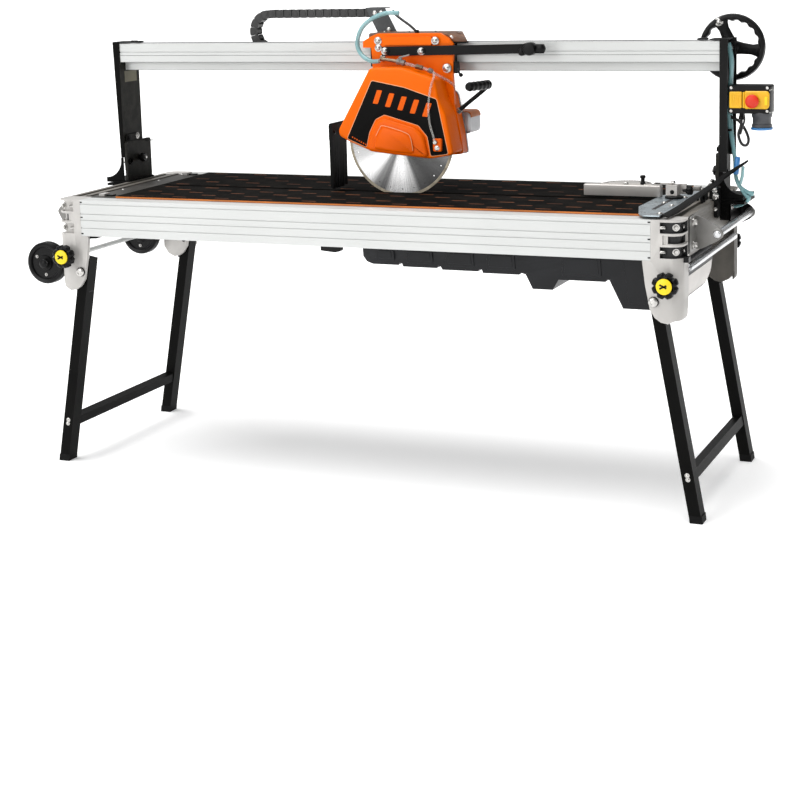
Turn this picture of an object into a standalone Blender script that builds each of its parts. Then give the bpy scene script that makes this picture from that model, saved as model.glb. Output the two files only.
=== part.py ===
"""Wet tile saw with a tilting bridge, a travelling saw head and folding legs.

Sizes are in millimetres in the machine's own coordinates: x runs along the table with 0 at its
middle, y runs away from the operator with 0 at the front rail's front face, z runs up from the
floor. place() turns them into metres with the origin under the middle of the machine.
"""

import math

import bmesh
import bpy
from mathutils import Vector

MM = 0.001

# Table frame
DEPTH = 735.0
RAIL_END = 926.0
RAIL_TOP = 869.0
RAIL_BOTTOM = 754.0
RAIL_WIDTH = 60.0
RAIL_GROOVES = (856.0, 825.0, 805.0, 780.0)
CASTING_DEPTH = 77.0
CASTING_END = 1015.0
END_RAIL = (955.0, 1012.0)
MAT_TOP = 876.0
SLOT_Y = (330.0, 350.0)
SLOT_X = (-812.0, 868.0)
GAP = 0.3

# Folding legs
LEG_PIVOT = (935.0, 638.0)
LEG_FOOT_X = 1053.0
LEG_HALF_X = 17.5
LEG_Y = (15.0, 63.0)
LEG_ABOVE_PIVOT = 41.0
CROSSBAR_Z = 132.0
KNOB_AT = (976.0, 691.0)
PIN_RADIUS = 8.0

# Transport wheels
WHEEL_AT = (-1086.0, 655.0)
WHEEL_RADIUS = 68.0
WHEEL_Y = ((20.0, 62.0), (606.0, 648.0))

# Bridge
TILT_AXIS = (452.0, 938.0)
BEVEL_STUD = (510.0, 945.0)
WEB = (1018.3, 1022.3)
POST_Y = (430.0, 555.0)
POST_FLANGE = 1042.0
POST_TOP = 1340.0
BEAM_END = 1017.5
BEAM_TOP = 1335.0
WHEEL_SHAFT = (1024.0, 1309.0)
HANDWHEEL_Y = (566.0, 584.0)
GRIP_RADIUS, GRIP_ANGLE = 85.0, math.radians(117)

# Energy chain
BEND_AT = (-505.0, 1368.0)
CHAIN_RADII = (42.0, 70.0)
CHAIN_Y = (532.0, 572.0)
CHAIN_FIXED_END = -50.0
CHAIN_MOVING_END = -100.0

# Saw head
PLUNGE_AXIS = (183.0, 1259.0)
BLADE_AT = (38.0, 1037.0)
BLADE_RADIUS = 175.0
BLADE_Y = (343.5, 346.5)
MOTOR_AT = (172.0, 1082.0)
FLAP_HINGE = (-182.5, 1086.0)

# Fence
SWIVEL_AT = (895.0, 372.0)

# Shift from the machine's coordinates to the middle of its bounding box
MIDDLE = (7.5, DEPTH / 2)

COLOURS = {
    "aluminium": ((0.80, 0.80, 0.78), 0.35, 0.9),
    "cast_grey": ((0.56, 0.55, 0.52), 0.5, 0.6),
    "black_steel": ((0.03, 0.03, 0.032), 0.45, 0.3),
    "black_plastic": ((0.02, 0.02, 0.022), 0.5, 0.0),
    "orange_paint": ((0.90, 0.22, 0.02), 0.35, 0.0),
    "zinc": ((0.55, 0.58, 0.60), 0.35, 0.9),
    "steel": ((0.62, 0.62, 0.62), 0.25, 1.0),
    "rubber": ((0.02, 0.02, 0.02), 0.8, 0.0),
    "yellow_plastic": ((0.90, 0.62, 0.05), 0.4, 0.0),
    "red_plastic": ((0.75, 0.05, 0.02), 0.35, 0.0),
    "blue_plastic": ((0.05, 0.25, 0.60), 0.4, 0.0),
    "brass": ((0.72, 0.60, 0.38), 0.3, 1.0),
    "fence_grey": ((0.60, 0.57, 0.54), 0.4, 0.8),
}


# ---------------------------------------------------------------- shapes

def place(x, y, z):
    return Vector(((x - MIDDLE[0]) * MM, (y - MIDDLE[1]) * MM, z * MM))


def on_axis(axis, u, v, w):
    """The point with u and v across the axis, in x, y, z order, and w along it."""
    if axis == "X":
        return place(w, u, v)
    if axis == "Y":
        return place(u, w, v)
    return place(u, v, w)


def closed(shape):
    bmesh.ops.recalc_face_normals(shape, faces=shape.faces)
    return shape


def loft(rings):
    """A closed body through rings of equal length, capped at both ends."""
    shape = bmesh.new()
    rows = [[shape.verts.new(point) for point in ring] for ring in rings]
    count = len(rows[0])
    shape.faces.new(rows[0])
    shape.faces.new(rows[-1])
    for low, high in zip(rows, rows[1:]):
        for i in range(count):
            j = (i + 1) % count
            shape.faces.new((low[i], low[j], high[j], high[i]))
    return closed(shape)


def prism(axis, outline, low, high):
    return loft([[on_axis(axis, u, v, w) for u, v in outline] for w in (low, high)])


def box(x0, x1, y0, y1, z0, z1):
    return prism("Z", [(x0, y0), (x1, y0), (x1, y1), (x0, y1)], z0, z1)


def circle(u, v, radius, sides=24):
    turns = [2 * math.pi * i / sides for i in range(sides)]
    return [(u + radius * math.cos(t), v + radius * math.sin(t)) for t in turns]


def disc(axis, centre, radius, low, high, sides=24):
    return prism(axis, circle(*centre, radius, sides), low, high)


def turned(axis, centre, profile, sides=24):
    """A body of revolution from (radius, position along the axis) pairs."""
    return loft([[on_axis(axis, u, v, w) for u, v in circle(*centre, radius, sides)]
                 for radius, w in profile])


def rod(path, radius, sides=12):
    """A round bar through points of the machine's coordinates."""
    points = [place(*point) for point in path]
    rings = []
    for i, point in enumerate(points):
        before = points[max(i - 1, 0)]
        after = points[min(i + 1, len(points) - 1)]
        along = (after - before).normalized()
        across = along.cross(Vector((0, 0, 1)))
        if across.length < 0.2:
            across = along.cross(Vector((0, 1, 0)))
        across.normalize()
        up = across.cross(along)
        turns = [2 * math.pi * k / sides for k in range(sides)]
        rings.append([point + radius * MM * (across * math.cos(t) + up * math.sin(t))
                      for t in turns])
    return loft(rings)


def mirrored(side, outline):
    """The outline with its first coordinate on the given side of the middle."""
    return [(side * u, v) for u, v in outline]


def material(name):
    found = bpy.data.materials.get(name)
    if found:
        return found
    colour, roughness, metallic = COLOURS[name]
    made = bpy.data.materials.new(name)
    made.use_nodes = True
    shader = made.node_tree.nodes["Principled BSDF"]
    shader.inputs["Base Color"].default_value = (*colour, 1)
    shader.inputs["Roughness"].default_value = roughness
    shader.inputs["Metallic"].default_value = metallic
    made.diffuse_color = (*colour, 1)
    return made


def object_of(name, shape, smooth=False):
    mesh = bpy.data.meshes.new(name)
    shape.to_mesh(mesh)
    shape.free()
    if smooth:
        mesh.shade_smooth()
        mesh.set_sharp_from_angle(angle=math.radians(35))
    made = bpy.data.objects.new(name, mesh)
    bpy.context.scene.collection.objects.link(made)
    return made


def solid(name, colour, base, *steps, origin=None, smooth=False):
    """One closed body: the base, changed by (operation, shape) steps in the order given."""
    made = object_of(name, base, smooth)
    made.data.materials.append(material(colour))
    if origin:
        centre = place(*origin)
        for vertex in made.data.vertices:
            vertex.co -= centre
        made.location = centre
    for number, (operation, shape) in enumerate(steps):
        tool = object_of(f"{name}_tool_{number}", shape, smooth)
        tool.hide_render = True
        tool.display_type = "WIRE"
        tool.data.materials.append(material(colour))
        step = made.modifiers.new(f"{operation.title()}{number}", "BOOLEAN")
        step.object = tool
        step.operation = operation
        step.solver = "EXACT"
    return made


def add(*shapes):
    return [("UNION", shape) for shape in shapes]


def cut(*shapes):
    return [("DIFFERENCE", shape) for shape in shapes]


# ---------------------------------------------------------------- table frame

def from_rear(rear):
    """Turns a distance from the front face into y, mirrored for a piece at the rear."""
    return (lambda y: DEPTH - y) if rear else (lambda y: y)


def rail(name, rear):
    """A hollow aluminium rail with grooves along its outer face."""
    at = from_rear(rear)
    outline = [(0, RAIL_BOTTOM), (RAIL_WIDTH, RAIL_BOTTOM), (RAIL_WIDTH, RAIL_TOP), (0, RAIL_TOP)]
    for z in RAIL_GROOVES:
        outline += [(0, z + 1.5), (2.5, z + 1.5), (2.5, z - 1.5), (0, z - 1.5)]
    body = prism("X", [(at(y), z) for y, z in outline], -RAIL_END + GAP, RAIL_END - GAP)
    hollow = [(at(y), z) for y, z in ((5, 760), (55, 760), (55, 864), (5, 864))]
    solid(name, "aluminium", body, *cut(prism("X", hollow, -RAIL_END - 5, RAIL_END + 5)))


def leg_direction():
    dx = LEG_FOOT_X - LEG_PIVOT[0]
    dz = -LEG_PIVOT[1]
    length = math.hypot(dx, dz)
    return dx / length, dz / length


def leg_pocket(side):
    """The space the leg needs below the casting, from its splayed place to fully folded."""
    ux, uz = leg_direction()
    px, pz = LEG_PIVOT
    half = LEG_HALF_X + 1.5
    outer = (px - uz * half, pz + ux * half)
    outline = [outer,
               (outer[0] + ux * 90, outer[1] + uz * 90),
               (px - 90, pz + uz * 90),
               (px - 90, pz + half + 4),
               (px, pz + half + 4)]
    return mirrored(side, outline)


def casting(name, side, rear):
    """A corner block that joins two rails and carries a folding leg between its cheeks."""
    at = from_rear(rear)
    corner = [(981 + 34 * math.cos(math.radians(a)), 34 + 34 * math.sin(math.radians(a)))
              for a in range(-90, 1, 15)]
    plan = [(890, 0)] + corner + [(CASTING_END, CASTING_DEPTH), (890, CASTING_DEPTH)]
    body = prism("Z", [(side * x, at(y)) for x, y in plan], 560, 880)
    front = [(RAIL_END, RAIL_TOP), (1030, RAIL_TOP), (1030, 634), (1011, 606), (999, 587),
             (975, 576), (955, 580), (938, 592), (924, 614), (910, 685), (902, 750),
             (902, RAIL_BOTTOM - 0.5), (RAIL_END, RAIL_BOTTOM - 0.5)]
    profile = prism("Y", mirrored(side, front), at(-5), at(CASTING_DEPTH + 5))
    pivot = (side * LEG_PIVOT[0], LEG_PIVOT[1])
    knob = (side * KNOB_AT[0], KNOB_AT[1])
    steps = [("INTERSECT", profile)]
    if side < 0:
        lug = [(-1008, 636), (-1088, 636), (-1104, 645), (-1104, 665), (-1088, 674), (-1008, 690)]
        steps += add(prism("Y", lug, at(65), at(76.5)))
        steps += cut(disc("Y", WHEEL_AT, 8.3, at(60), at(80), 16))
    steps += cut(prism("Y", leg_pocket(side), at(12), at(66)),
                 disc("Y", pivot, 48, at(12), at(66)),
                 disc("Y", pivot, PIN_RADIUS + 0.5, at(-5), at(CASTING_DEPTH + 5), 16),
                 disc("Y", knob, 6.5, at(-5), at(42), 16))
    for low, high in ((832, 862), (762, 793)):
        recess = [(953, low), (1000, low), (1000, high), (953, high)]
        steps += cut(prism("Y", mirrored(side, recess), at(-5), at(8)))
    window = [(968, 803), (990, 803), (990, 822), (968, 822)]
    steps += cut(prism("Y", mirrored(side, window), at(-5), at(6)))
    solid(name, "cast_grey", body, *steps)


def end_rail(name, side):
    low, high = END_RAIL
    outline = [(low, RAIL_BOTTOM), (high, RAIL_BOTTOM), (high, RAIL_TOP), (994, RAIL_TOP),
               (994, RAIL_TOP - 8), (974, RAIL_TOP - 8), (974, RAIL_TOP), (low, RAIL_TOP)]
    ends = (CASTING_DEPTH + GAP, DEPTH - CASTING_DEPTH - GAP)
    hollow = [(low + 5, 760), (high - 5, 760), (high - 5, 852), (low + 5, 852)]
    solid(name, "aluminium", prism("Y", mirrored(side, outline), *ends),
          *cut(prism("Y", mirrored(side, hollow), ends[0] - 5, ends[1] + 5)))


def table():
    slot = (*SLOT_X, *SLOT_Y)
    board = box(-950, 950, 77.4, DEPTH - 77.4, 858, 869.2)
    solid("table_board", "black_plastic", board,
          *add(box(-925.6, 925.6, 62.3, DEPTH - 62.3, 858, 869.2)),
          *cut(box(*slot, 850, 880)))
    mat = box(-830, 884, 64, DEPTH - 64, 869.5, MAT_TOP)
    solid("rubber_mat", "rubber", mat, *cut(box(*slot, 860, 885)))


def tank_outline(wall):
    """The ribbed underside from left to right, moved in by the wall's thickness."""
    ribs = [(48, 130, 693), (146, 254, 689), (272, 384, 685), (400, 512, 681),
            (553, 614, 641), (632, 772, 672), (824, 955, 597)]
    points = [(12 + wall, 800), (16 + wall, 716), (28 + wall, 700)]
    for x0, x1, z in ribs:
        points += [(x0 + wall / 2, z + wall), (x1 - wall / 2, z + wall)]
        if z == 681:
            points += [(518 - wall / 2, 687 + wall), (532 + wall / 2, 683 + wall)]
        elif x1 < 800 and z != 641:
            points += [(x1 + 5 - wall / 2, z + 7 + wall), (x1 + 12 + wall / 2, z + 6 + wall)]
    points += [(978 - wall, 615 + wall), (990 - wall, 650), (994 - wall, 690), (990 - wall, 740),
               (948 - wall, 752), (948 - wall, 800)]
    return points


def water_tank():
    """A ribbed tub under the right half, open into a shallow tray under the whole table."""
    tub = prism("Y", tank_outline(0), 80, DEPTH - 80)
    tray = box(-915, 915, 62.6, DEPTH - 62.6, 764, 857)
    inside = prism("Y", tank_outline(4), 84, DEPTH - 84)
    solid("water_tank", "black_plastic", tub,
          *add(tray),
          *cut(inside, box(-911, 911, 66.6, DEPTH - 66.6, 768, 870)))
    solid("water_pump", "black_plastic", box(850, 935, 330, 410, 602, 672),
          *add(disc("Z", (892, 370), 9, 660, 700, 16), disc("Z", (892, 370), 26, 665, 682, 16)))


def carry_handle(name, side):
    """Two bolted brackets with a tube between them, used to lift the machine."""
    gusset = [(1013, 862), (1032, 858), (1088, 828), (1097, 812), (1088, 796), (1032, 768),
              (1013, 768)]
    near, far = 150.0, DEPTH - 150
    flange = box(side * 1012.6, side * 1017, near - 66, near + 6, 766, 866)
    shapes = [prism("Y", mirrored(side, gusset), near, near + 6),
              disc("Y", (side * 1080, 811), 10.5, near - 4, far + 4, 20),
              prism("Y", mirrored(side, gusset), far - 6, far),
              box(side * 1012.6, side * 1017, far - 6, far + 66, 766, 866)]
    solid(name, "cast_grey", flange, *add(*shapes))


def cross_tube(name, side):
    tube = disc("Y", (side * 1014, 724), 11, CASTING_DEPTH + GAP, DEPTH - CASTING_DEPTH - GAP, 20)
    solid(name, "aluminium", tube, smooth=True)


def arc_slot(centre, start, radius, degrees, steps=8):
    """The outline of a slot that follows a point turning round a centre."""
    reach = math.hypot(start[0] - centre[0], start[1] - centre[1])
    first = math.atan2(start[1] - centre[1], start[0] - centre[0])
    outline = []
    for sign, order in ((1, range(steps + 1)), (-1, range(steps, -1, -1))):
        for i in order:
            turn = first - math.radians(degrees + 12) * i / steps + math.radians(6)
            outline.append((centre[0] + (reach + sign * radius) * math.cos(turn),
                            centre[1] + (reach + sign * radius) * math.sin(turn)))
    return outline


def post_bracket(name, side):
    """The fixed foot of a post: base plate, web with the bevel slot, flared front plate."""
    flare = [(1024, 874), (1024, 945), (1042, 945), (1045, 915), (1054, 895), (1074, 884),
             (1074, 874)]
    skirt = box(side * 1046, side * 1052, 440, 576, 806, 874)
    shapes = [box(side * 960, side * 1074, 428, 592, 869.4, 877),
              box(side * 1008, side * 1017.5, 432, 590, 874, 1005),
              prism("Y", mirrored(side, flare), 428, 434),
              disc("X", TILT_AXIS, PIN_RADIUS, side * 1004, side * 1034, 16),
              disc("X", TILT_AXIS, 13, side * 1001, side * 1010, 6)]
    slot = arc_slot(TILT_AXIS, BEVEL_STUD, 6.0, 45)
    solid(name, "black_steel", skirt, *add(*shapes),
          *cut(prism("X", slot, side * 1000, side * 1017.9)))


def wheel_axle():
    path = [(12, 13.0), (12, 19.5), (8, 19.5), (8, 676), (12, 676), (12, 682)]
    solid("wheel_axle", "steel", turned("Y", WHEEL_AT, path, 16), smooth=True)


def fence_track():
    sheet = [(850, 404), (846, 170), (884, 30), (903, 6), (950, 6), (950, 520), (925, 520)]
    solid("fence_plate", "zinc", prism("Z", sheet, 876.4, 880))


def splash_strip():
    """A soft black strip fixed at the front corner, rising to a free end ahead of the post."""
    stations = [((957, 12, 872), (986, 12, 872)),
                ((963, 150, 886), (996, 140, 880)),
                ((985, 332, 909), (1010, 265, 892)),
                ((1010, 400, 931), (1024, 395, 920)),
                ((1040, 416, 950), (1050, 416, 944)),
                ((1100, 424, 986), (1104, 424, 984))]
    rings = []
    for inner, outer in stations:
        low = [place(*inner), place(*outer)]
        high = [point + Vector((0, 0, 3 * MM)) for point in low]
        rings.append([low[0], low[1], high[1], high[0]])
    solid("splash_strip", "rubber", loft(rings))


# ---------------------------------------------------------------- legs and wheels

def leg_frame(name, side):
    """Two splayed legs, the bar between them and the pins they fold on."""
    ux, uz = leg_direction()
    px, pz = LEG_PIVOT
    nx, nz = -uz, ux

    def edge(offset):
        down = (pz + nz * offset) / -uz
        return (px + nx * offset + ux * down, 0.0)

    top = [(px + nx * o - ux * LEG_ABOVE_PIVOT, pz + nz * o - uz * LEG_ABOVE_PIVOT)
           for o in (-LEG_HALF_X, LEG_HALF_X)]
    outline = mirrored(side, [top[0], top[1], edge(LEG_HALF_X), edge(-LEG_HALF_X)])
    reach = (pz - CROSSBAR_Z) / -uz
    mid = (px + ux * reach, pz + uz * reach)
    bar = mirrored(side, [(mid[0] + a * nx * 15 + b * ux * 15, mid[1] + a * nz * 15 + b * uz * 15)
                          for a, b in ((-1, -1), (1, -1), (1, 1), (-1, 1))])
    pivot = (side * px, pz)
    shapes = [prism("Y", bar, LEG_Y[1] - 2, DEPTH - LEG_Y[1] + 2),
              prism("Y", outline, DEPTH - LEG_Y[1], DEPTH - LEG_Y[0])]
    for at in (from_rear(False), from_rear(True)):
        shapes.append(disc("Y", pivot, PIN_RADIUS, at(-4), at(CASTING_DEPTH + 3), 16))
        shapes.append(turned("Y", pivot, [(15, at(-1.5)), (15, at(-4)), (10, at(-9))], 16))
    solid(name, "black_steel", prism("Y", outline, *LEG_Y), *add(*shapes),
          origin=(side * px, 0, pz))


def leg_knob(name, side, rear):
    at = from_rear(rear)
    centre = (side * KNOB_AT[0], KNOB_AT[1])
    lobes = []
    for i in range(32):
        turn = 2 * math.pi * i / 32
        reach = 35 + 3 * math.cos(8 * turn)
        lobes.append((centre[0] + reach * math.cos(turn), centre[1] + reach * math.sin(turn)))
    solid(name, "black_plastic", prism("Y", lobes, at(-45), at(-22)),
          *add(disc("Y", centre, 22, at(-49), at(-40)),
               disc("Y", centre, 15, at(-24), at(-1.5), 16),
               disc("Y", centre, 6, at(-3), at(40), 16)),
          origin=(centre[0], at(0), centre[1]))


def transport_wheel(name, span):
    low, high = span
    rim = [(WHEEL_RADIUS - 6, low), (WHEEL_RADIUS, low + 6), (WHEEL_RADIUS, high - 6),
           (WHEEL_RADIUS - 6, high)]
    middle = (low + high) / 2
    solid(name, "black_plastic", turned("Y", WHEEL_AT, rim, 32),
          *cut(disc("Y", WHEEL_AT, 8.3, low - 5, high + 5, 16)),
          origin=(WHEEL_AT[0], middle, WHEEL_AT[1]), smooth=True)


# ---------------------------------------------------------------- bridge

def beam():
    """The hollow beam the carriage runs on, with a shelf behind it for the energy chain."""
    outline = [(435, 1273), (467, 1273), (467, 1245), (510, 1245), (510, BEAM_TOP),
               (435, BEAM_TOP), (435, 1309), (438, 1309), (438, 1305), (435, 1305)]
    hollow = [(441, 1278), (506, 1278), (506, 1330), (441, 1330)]
    shelf = [(508, 1291), (577, 1291), (577, 1322), (574.5, 1322), (574.5, 1294), (508, 1294)]
    solid("beam", "aluminium", prism("X", outline, -BEAM_END, BEAM_END),
          *cut(prism("X", hollow, -BEAM_END - 5, BEAM_END + 5)),
          *add(prism("X", shelf, -975, 10)),
          origin=(0, *TILT_AXIS))


def post(name, side):
    """A folded channel: its web carries the beam's end, its foot turns on the bracket's pin."""
    near, far = POST_Y
    web = [(near, POST_TOP), (far, POST_TOP), (far, 985), (512, 930), (470, 903), (438, 908),
           (435, 952), (near, 952)]
    steps = add(box(side * 1020, side * POST_FLANGE, near, near + 4, 952, POST_TOP),
                box(side * 1020, side * POST_FLANGE, far - 4, far, 990, POST_TOP))
    if side > 0:
        x, z = WHEEL_SHAFT
        steps += add(box(1006, 1042, 536, 561, z - 18, z + 18))
        steps += cut(box(1016, 1030, 506, 535.5, z - 17, z + 17),
                     disc("Y", WHEEL_SHAFT, 7.8, 530, 570, 16))
    steps += cut(disc("X", TILT_AXIS, PIN_RADIUS + 0.5, side * 1015, side * 1026, 16),
                 disc("X", BEVEL_STUD, 5.5, side * 1015, side * 1026, 16))
    solid(name, "black_steel", prism("X", web, side * WEB[0], side * WEB[1]), *steps,
          origin=(side * WEB[0], *TILT_AXIS))


def bevel_knob(name, side):
    profile = [(12, side * 984), (15, side * 986), (15, side * 998), (10, side * 1001),
               (10, side * 1006.5), (5, side * 1006.5), (5, side * 1030)]
    solid(name, "black_plastic", turned("X", BEVEL_STUD, profile, 16),
          origin=(side * 1000, *BEVEL_STUD), smooth=True)


def handwheel():
    """Three spokes and a rim on a hub, a crank pin on the far side and the shaft it drives."""
    low, high = HANDWHEEL_Y
    x, z = WHEEL_SHAFT
    rim = disc("Y", WHEEL_SHAFT, 100, low, high, 40)
    steps = cut(disc("Y", WHEEL_SHAFT, 85, low - 5, high + 5, 40))
    steps += add(disc("Y", WHEEL_SHAFT, 20, low - 2, high + 2, 20))
    for degrees in (117, -3, -123):
        turn = math.radians(degrees)
        along, across = (math.cos(turn), math.sin(turn)), (-math.sin(turn), math.cos(turn))
        spoke = [(x + along[0] * r + across[0] * s, z + along[1] * r + across[1] * s)
                 for r, s in ((10, -11), (91, -13), (91, 13), (10, 11))]
        steps += add(prism("Y", spoke, low + 3, high - 3))
    pin = (x + GRIP_RADIUS * math.cos(GRIP_ANGLE), z + GRIP_RADIUS * math.sin(GRIP_ANGLE))
    steps += add(disc("Y", pin, 4, high - 4, high + 66, 16))
    steps += cut(disc("Y", WHEEL_SHAFT, 7.3, low - 8, high + 8, 16))
    solid("handwheel", "black_plastic", rim, *steps, origin=(x, low, z))
    grip = turned("Y", pin, [(10, high + GAP), (12, high + 8), (13, high + 40), (10, high + 60)],
                  16)
    solid("handwheel_grip", "black_plastic", grip,
          *cut(disc("Y", pin, 4.4, high - 5, high + 70, 16)),
          origin=(pin[0], high, pin[1]), smooth=True)
    shaft = [(7, 510.5), (7, 514), (14, 514), (14, 532), (7, 532), (7, high + 1)]
    solid("drive_shaft", "steel", turned("Y", WHEEL_SHAFT, shaft, 16),
          origin=(x, 511, z), smooth=True)


def switch_box():
    """The switch housing with the mains inlet below, its flap, stop button and inlet lid."""
    inlet = (1137.0, 466.0)
    solid("switch_box", "black_plastic", box(1042.5, 1166, 436, 500, 1122, 1207),
          *add(disc("Z", inlet, 29, 1082, 1126, 24)))
    button = (1117.0, 1161.0)
    solid("switch_flap", "yellow_plastic", box(1092, 1165, 428.3, 435.6, 1137, 1190),
          *add(disc("Z", (1090.0, 431.9), 3.4, 1140, 1187, 12)),
          *cut(disc("Y", button, 8.5, 420, 440, 16)),
          origin=(1090, 431.9, 1160))
    solid("stop_button", "red_plastic",
          turned("Y", button, [(12, 411), (20, 414), (20, 423.8), (8, 423.8), (8, 431.5)], 24),
          origin=(button[0], 423.8, button[1]), smooth=True)
    solid("inlet_lid", "blue_plastic", disc("Z", inlet, 32, 1074, 1081.6, 24),
          *add(box(1127, 1147, 494, 503, 1074, 1081.6)),
          origin=(inlet[0], 500, 1078))


# ---------------------------------------------------------------- energy chain

def energy_chain():
    x, z = BEND_AT
    inner, outer = CHAIN_RADII
    arc = [math.radians(a) for a in range(90, 271, 15)]
    ring = [(x + outer * math.cos(a), z + outer * math.sin(a)) for a in arc]
    ring += [(x + inner * math.cos(a), z + inner * math.sin(a)) for a in reversed(arc)]
    solid("chain_bend", "black_plastic", prism("Y", ring, *CHAIN_Y), origin=(x, 552, z))
    start = x + GAP
    solid("chain_upper_run", "black_plastic",
          box(start, CHAIN_MOVING_END, *CHAIN_Y, z + inner, z + outer))
    solid("chain_lower_run", "black_plastic",
          box(start, CHAIN_FIXED_END, *CHAIN_Y, z - outer, z - inner))


# ---------------------------------------------------------------- carriage and saw head

def carriage():
    """The saddle round the beam, with the head's pivot pin and the chain's bracket."""
    section = [(404, 1262), (431, 1262), (431, 1338.5), (514, 1338.5), (514, 1300),
               (528, 1300), (528, 1366), (404, 1366)]
    sheet = [(-150, 1441.5), (-84, 1441.5), (-36, 1350), (-104, 1350)]
    solid("carriage_saddle", "cast_grey", prism("X", section, -85, 242),
          *add(box(150, 215, 404, 430, 1240, 1270),
               prism("Y", sheet, 525, 529),
               box(-150, -84, 525, 576, 1438.6, 1441.5),
               disc("Y", PLUNGE_AXIS, PIN_RADIUS, 382, 410, 16),
               disc("Y", PLUNGE_AXIS, 14, 376.5, 385.6, 16)),
          *cut(prism("Y", [(207, 1370), (250, 1370), (250, 1340), (243, 1340)], 400, 524.5),
               prism("Y", [(-60, 1370), (-90, 1370), (-90, 1350)], 400, 524.5)))


def head_arm():
    """The orange plate that carries the guard in front and the motor behind."""
    outline = [(-101, 1342), (-69, 1359), (-49, 1366), (159, 1366), (185, 1351), (201, 1332),
               (199, 1240), (205, 1100), (192, 1000), (-10, 1000), (-60, 1080), (-68, 1230),
               (-73, 1322), (-101, 1322)]
    slot = [(-33, 1343)] + [(-26, 1356), (131, 1356), (138, 1343), (131, 1330), (-26, 1330)]
    solid("head_arm", "orange_paint", prism("Y", outline, 386, 400),
          *add(prism("Y", slot, 379, 387)),
          *cut(disc("Y", PLUNGE_AXIS, PIN_RADIUS + 0.5, 375, 405, 16),
               disc("Y", BLADE_AT, 16, 380, 405, 24),
               disc("Y", MOTOR_AT, 12, 380, 405, 16)),
          origin=(PLUNGE_AXIS[0], 393, PLUNGE_AXIS[1]))
    bar = [(-31, 1297), (-31, 1325), (455, 1333), (498, 1331), (503, 1318), (498, 1304),
           (455, 1304)]
    solid("plunge_lever", "black_steel", prism("Y", bar, 371, 378.5),
          *add(disc("Y", (448, 1318), 18, 360, 384, 24),
               disc("Y", (-14, 1312), 9, 367, 385.6, 6),
               disc("Y", (107, 1312), 9, 367, 385.6, 6)),
          origin=(PLUNGE_AXIS[0], 376, PLUNGE_AXIS[1]))


def blade_guard():
    outline = [(-44, 1265), (-156, 1072), (-153, 1053), (-126, 1038), (-42, 1005), (36, 997),
               (152, 987), (229, 1001), (206, 1123), (184, 1170), (172, 1231), (60, 1265)]
    cavity = [(-38, 1256), (-149, 1066), (-149, 960), (227, 960), (226.5, 1001), (203.5, 1122),
              (180, 1168), (166, 1223), (58, 1256)]
    bump = [(-52, 1008), (-38, 1066), (-18, 1098), (5, 1110), (111, 1081), (134, 1058),
            (148, 992)]
    small = [(-42, 1012), (-30, 1064), (-12, 1090), (8, 1100), (106, 1074), (126, 1052),
             (138, 1000)]
    nose = loft([[on_axis("Y", u, v, 302) for u, v in bump],
                 [on_axis("Y", u, v, 278) for u, v in small]])
    solid("blade_guard", "orange_paint", prism("Y", outline, 298, 385),
          *cut(prism("Y", cavity, 318, 372)),
          *add(nose,
               box(168, 194, 290, 300, 1013, 1049),
               box(-175, -148, 312, 368, 1078, 1092)),
          *cut(disc("Y", BLADE_AT, 30, 286, 320, 24),
               disc("Y", BLADE_AT, 30, 370, 390, 24),
               disc("Y", PLUNGE_AXIS, 16, 365, 390, 16)),
          origin=(PLUNGE_AXIS[0], 340, PLUNGE_AXIS[1]))


def belt_cover():
    outline = [(-20, 1000), (-20, 1080), (60, 1130), (120, 1170), (178, 1196), (200, 1180),
               (224, 1060), (232, 992), (150, 985), (40, 985)]
    cavity = [(-12, 1004), (-12, 1076), (64, 1123), (124, 1162), (176, 1186), (193, 1176),
              (216, 1058), (223, 1000), (150, 992), (36, 992)]
    solid("belt_cover", "orange_paint", prism("Y", outline, 400.4, 455),
          *cut(prism("Y", cavity, 395, 449), disc("Y", MOTOR_AT, 12, 440, 460, 16)),
          origin=(PLUNGE_AXIS[0], 428, PLUNGE_AXIS[1]))


def motor():
    x, z = MOTOR_AT
    profile = [(56, 455.4), (62, 462), (62, 545), (54, 556), (30, 562)]
    solid("motor", "cast_grey", turned("Y", MOTOR_AT, profile, 32),
          *cut(disc("Y", MOTOR_AT, 8.4, 450, 485, 16)),
          origin=(x, 500, z), smooth=True)
    pulley = [(8, 406), (8, 411), (25, 411), (25, 431), (8, 431), (8, 480)]
    solid("motor_spindle", "steel", turned("Y", MOTOR_AT, pulley, 20),
          origin=(x, 420, z), smooth=True)


def belt_loop(grow, sides=24):
    """The outline round both pulleys, as the hull of two circles."""
    (ax, az), (bx, bz) = BLADE_AT, MOTOR_AT
    big, small = 38 + grow, 25 + grow
    heading = math.atan2(bz - az, bx - ax)
    lean = math.acos((big - small) / math.hypot(bx - ax, bz - az))
    outline = []
    for (cx, cz), radius, first, last in (
            ((ax, az), big, heading + lean, heading + 2 * math.pi - lean),
            ((bx, bz), small, heading - lean, heading + lean)):
        for i in range(sides // 2 + 1):
            turn = first + (last - first) * i / (sides // 2)
            outline.append((cx + radius * math.cos(turn), cz + radius * math.sin(turn)))
    return outline


def drive_belt():
    solid("drive_belt", "rubber", prism("Y", belt_loop(5.3), 413, 429),
          *cut(prism("Y", belt_loop(0.4), 408, 434)))


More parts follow.
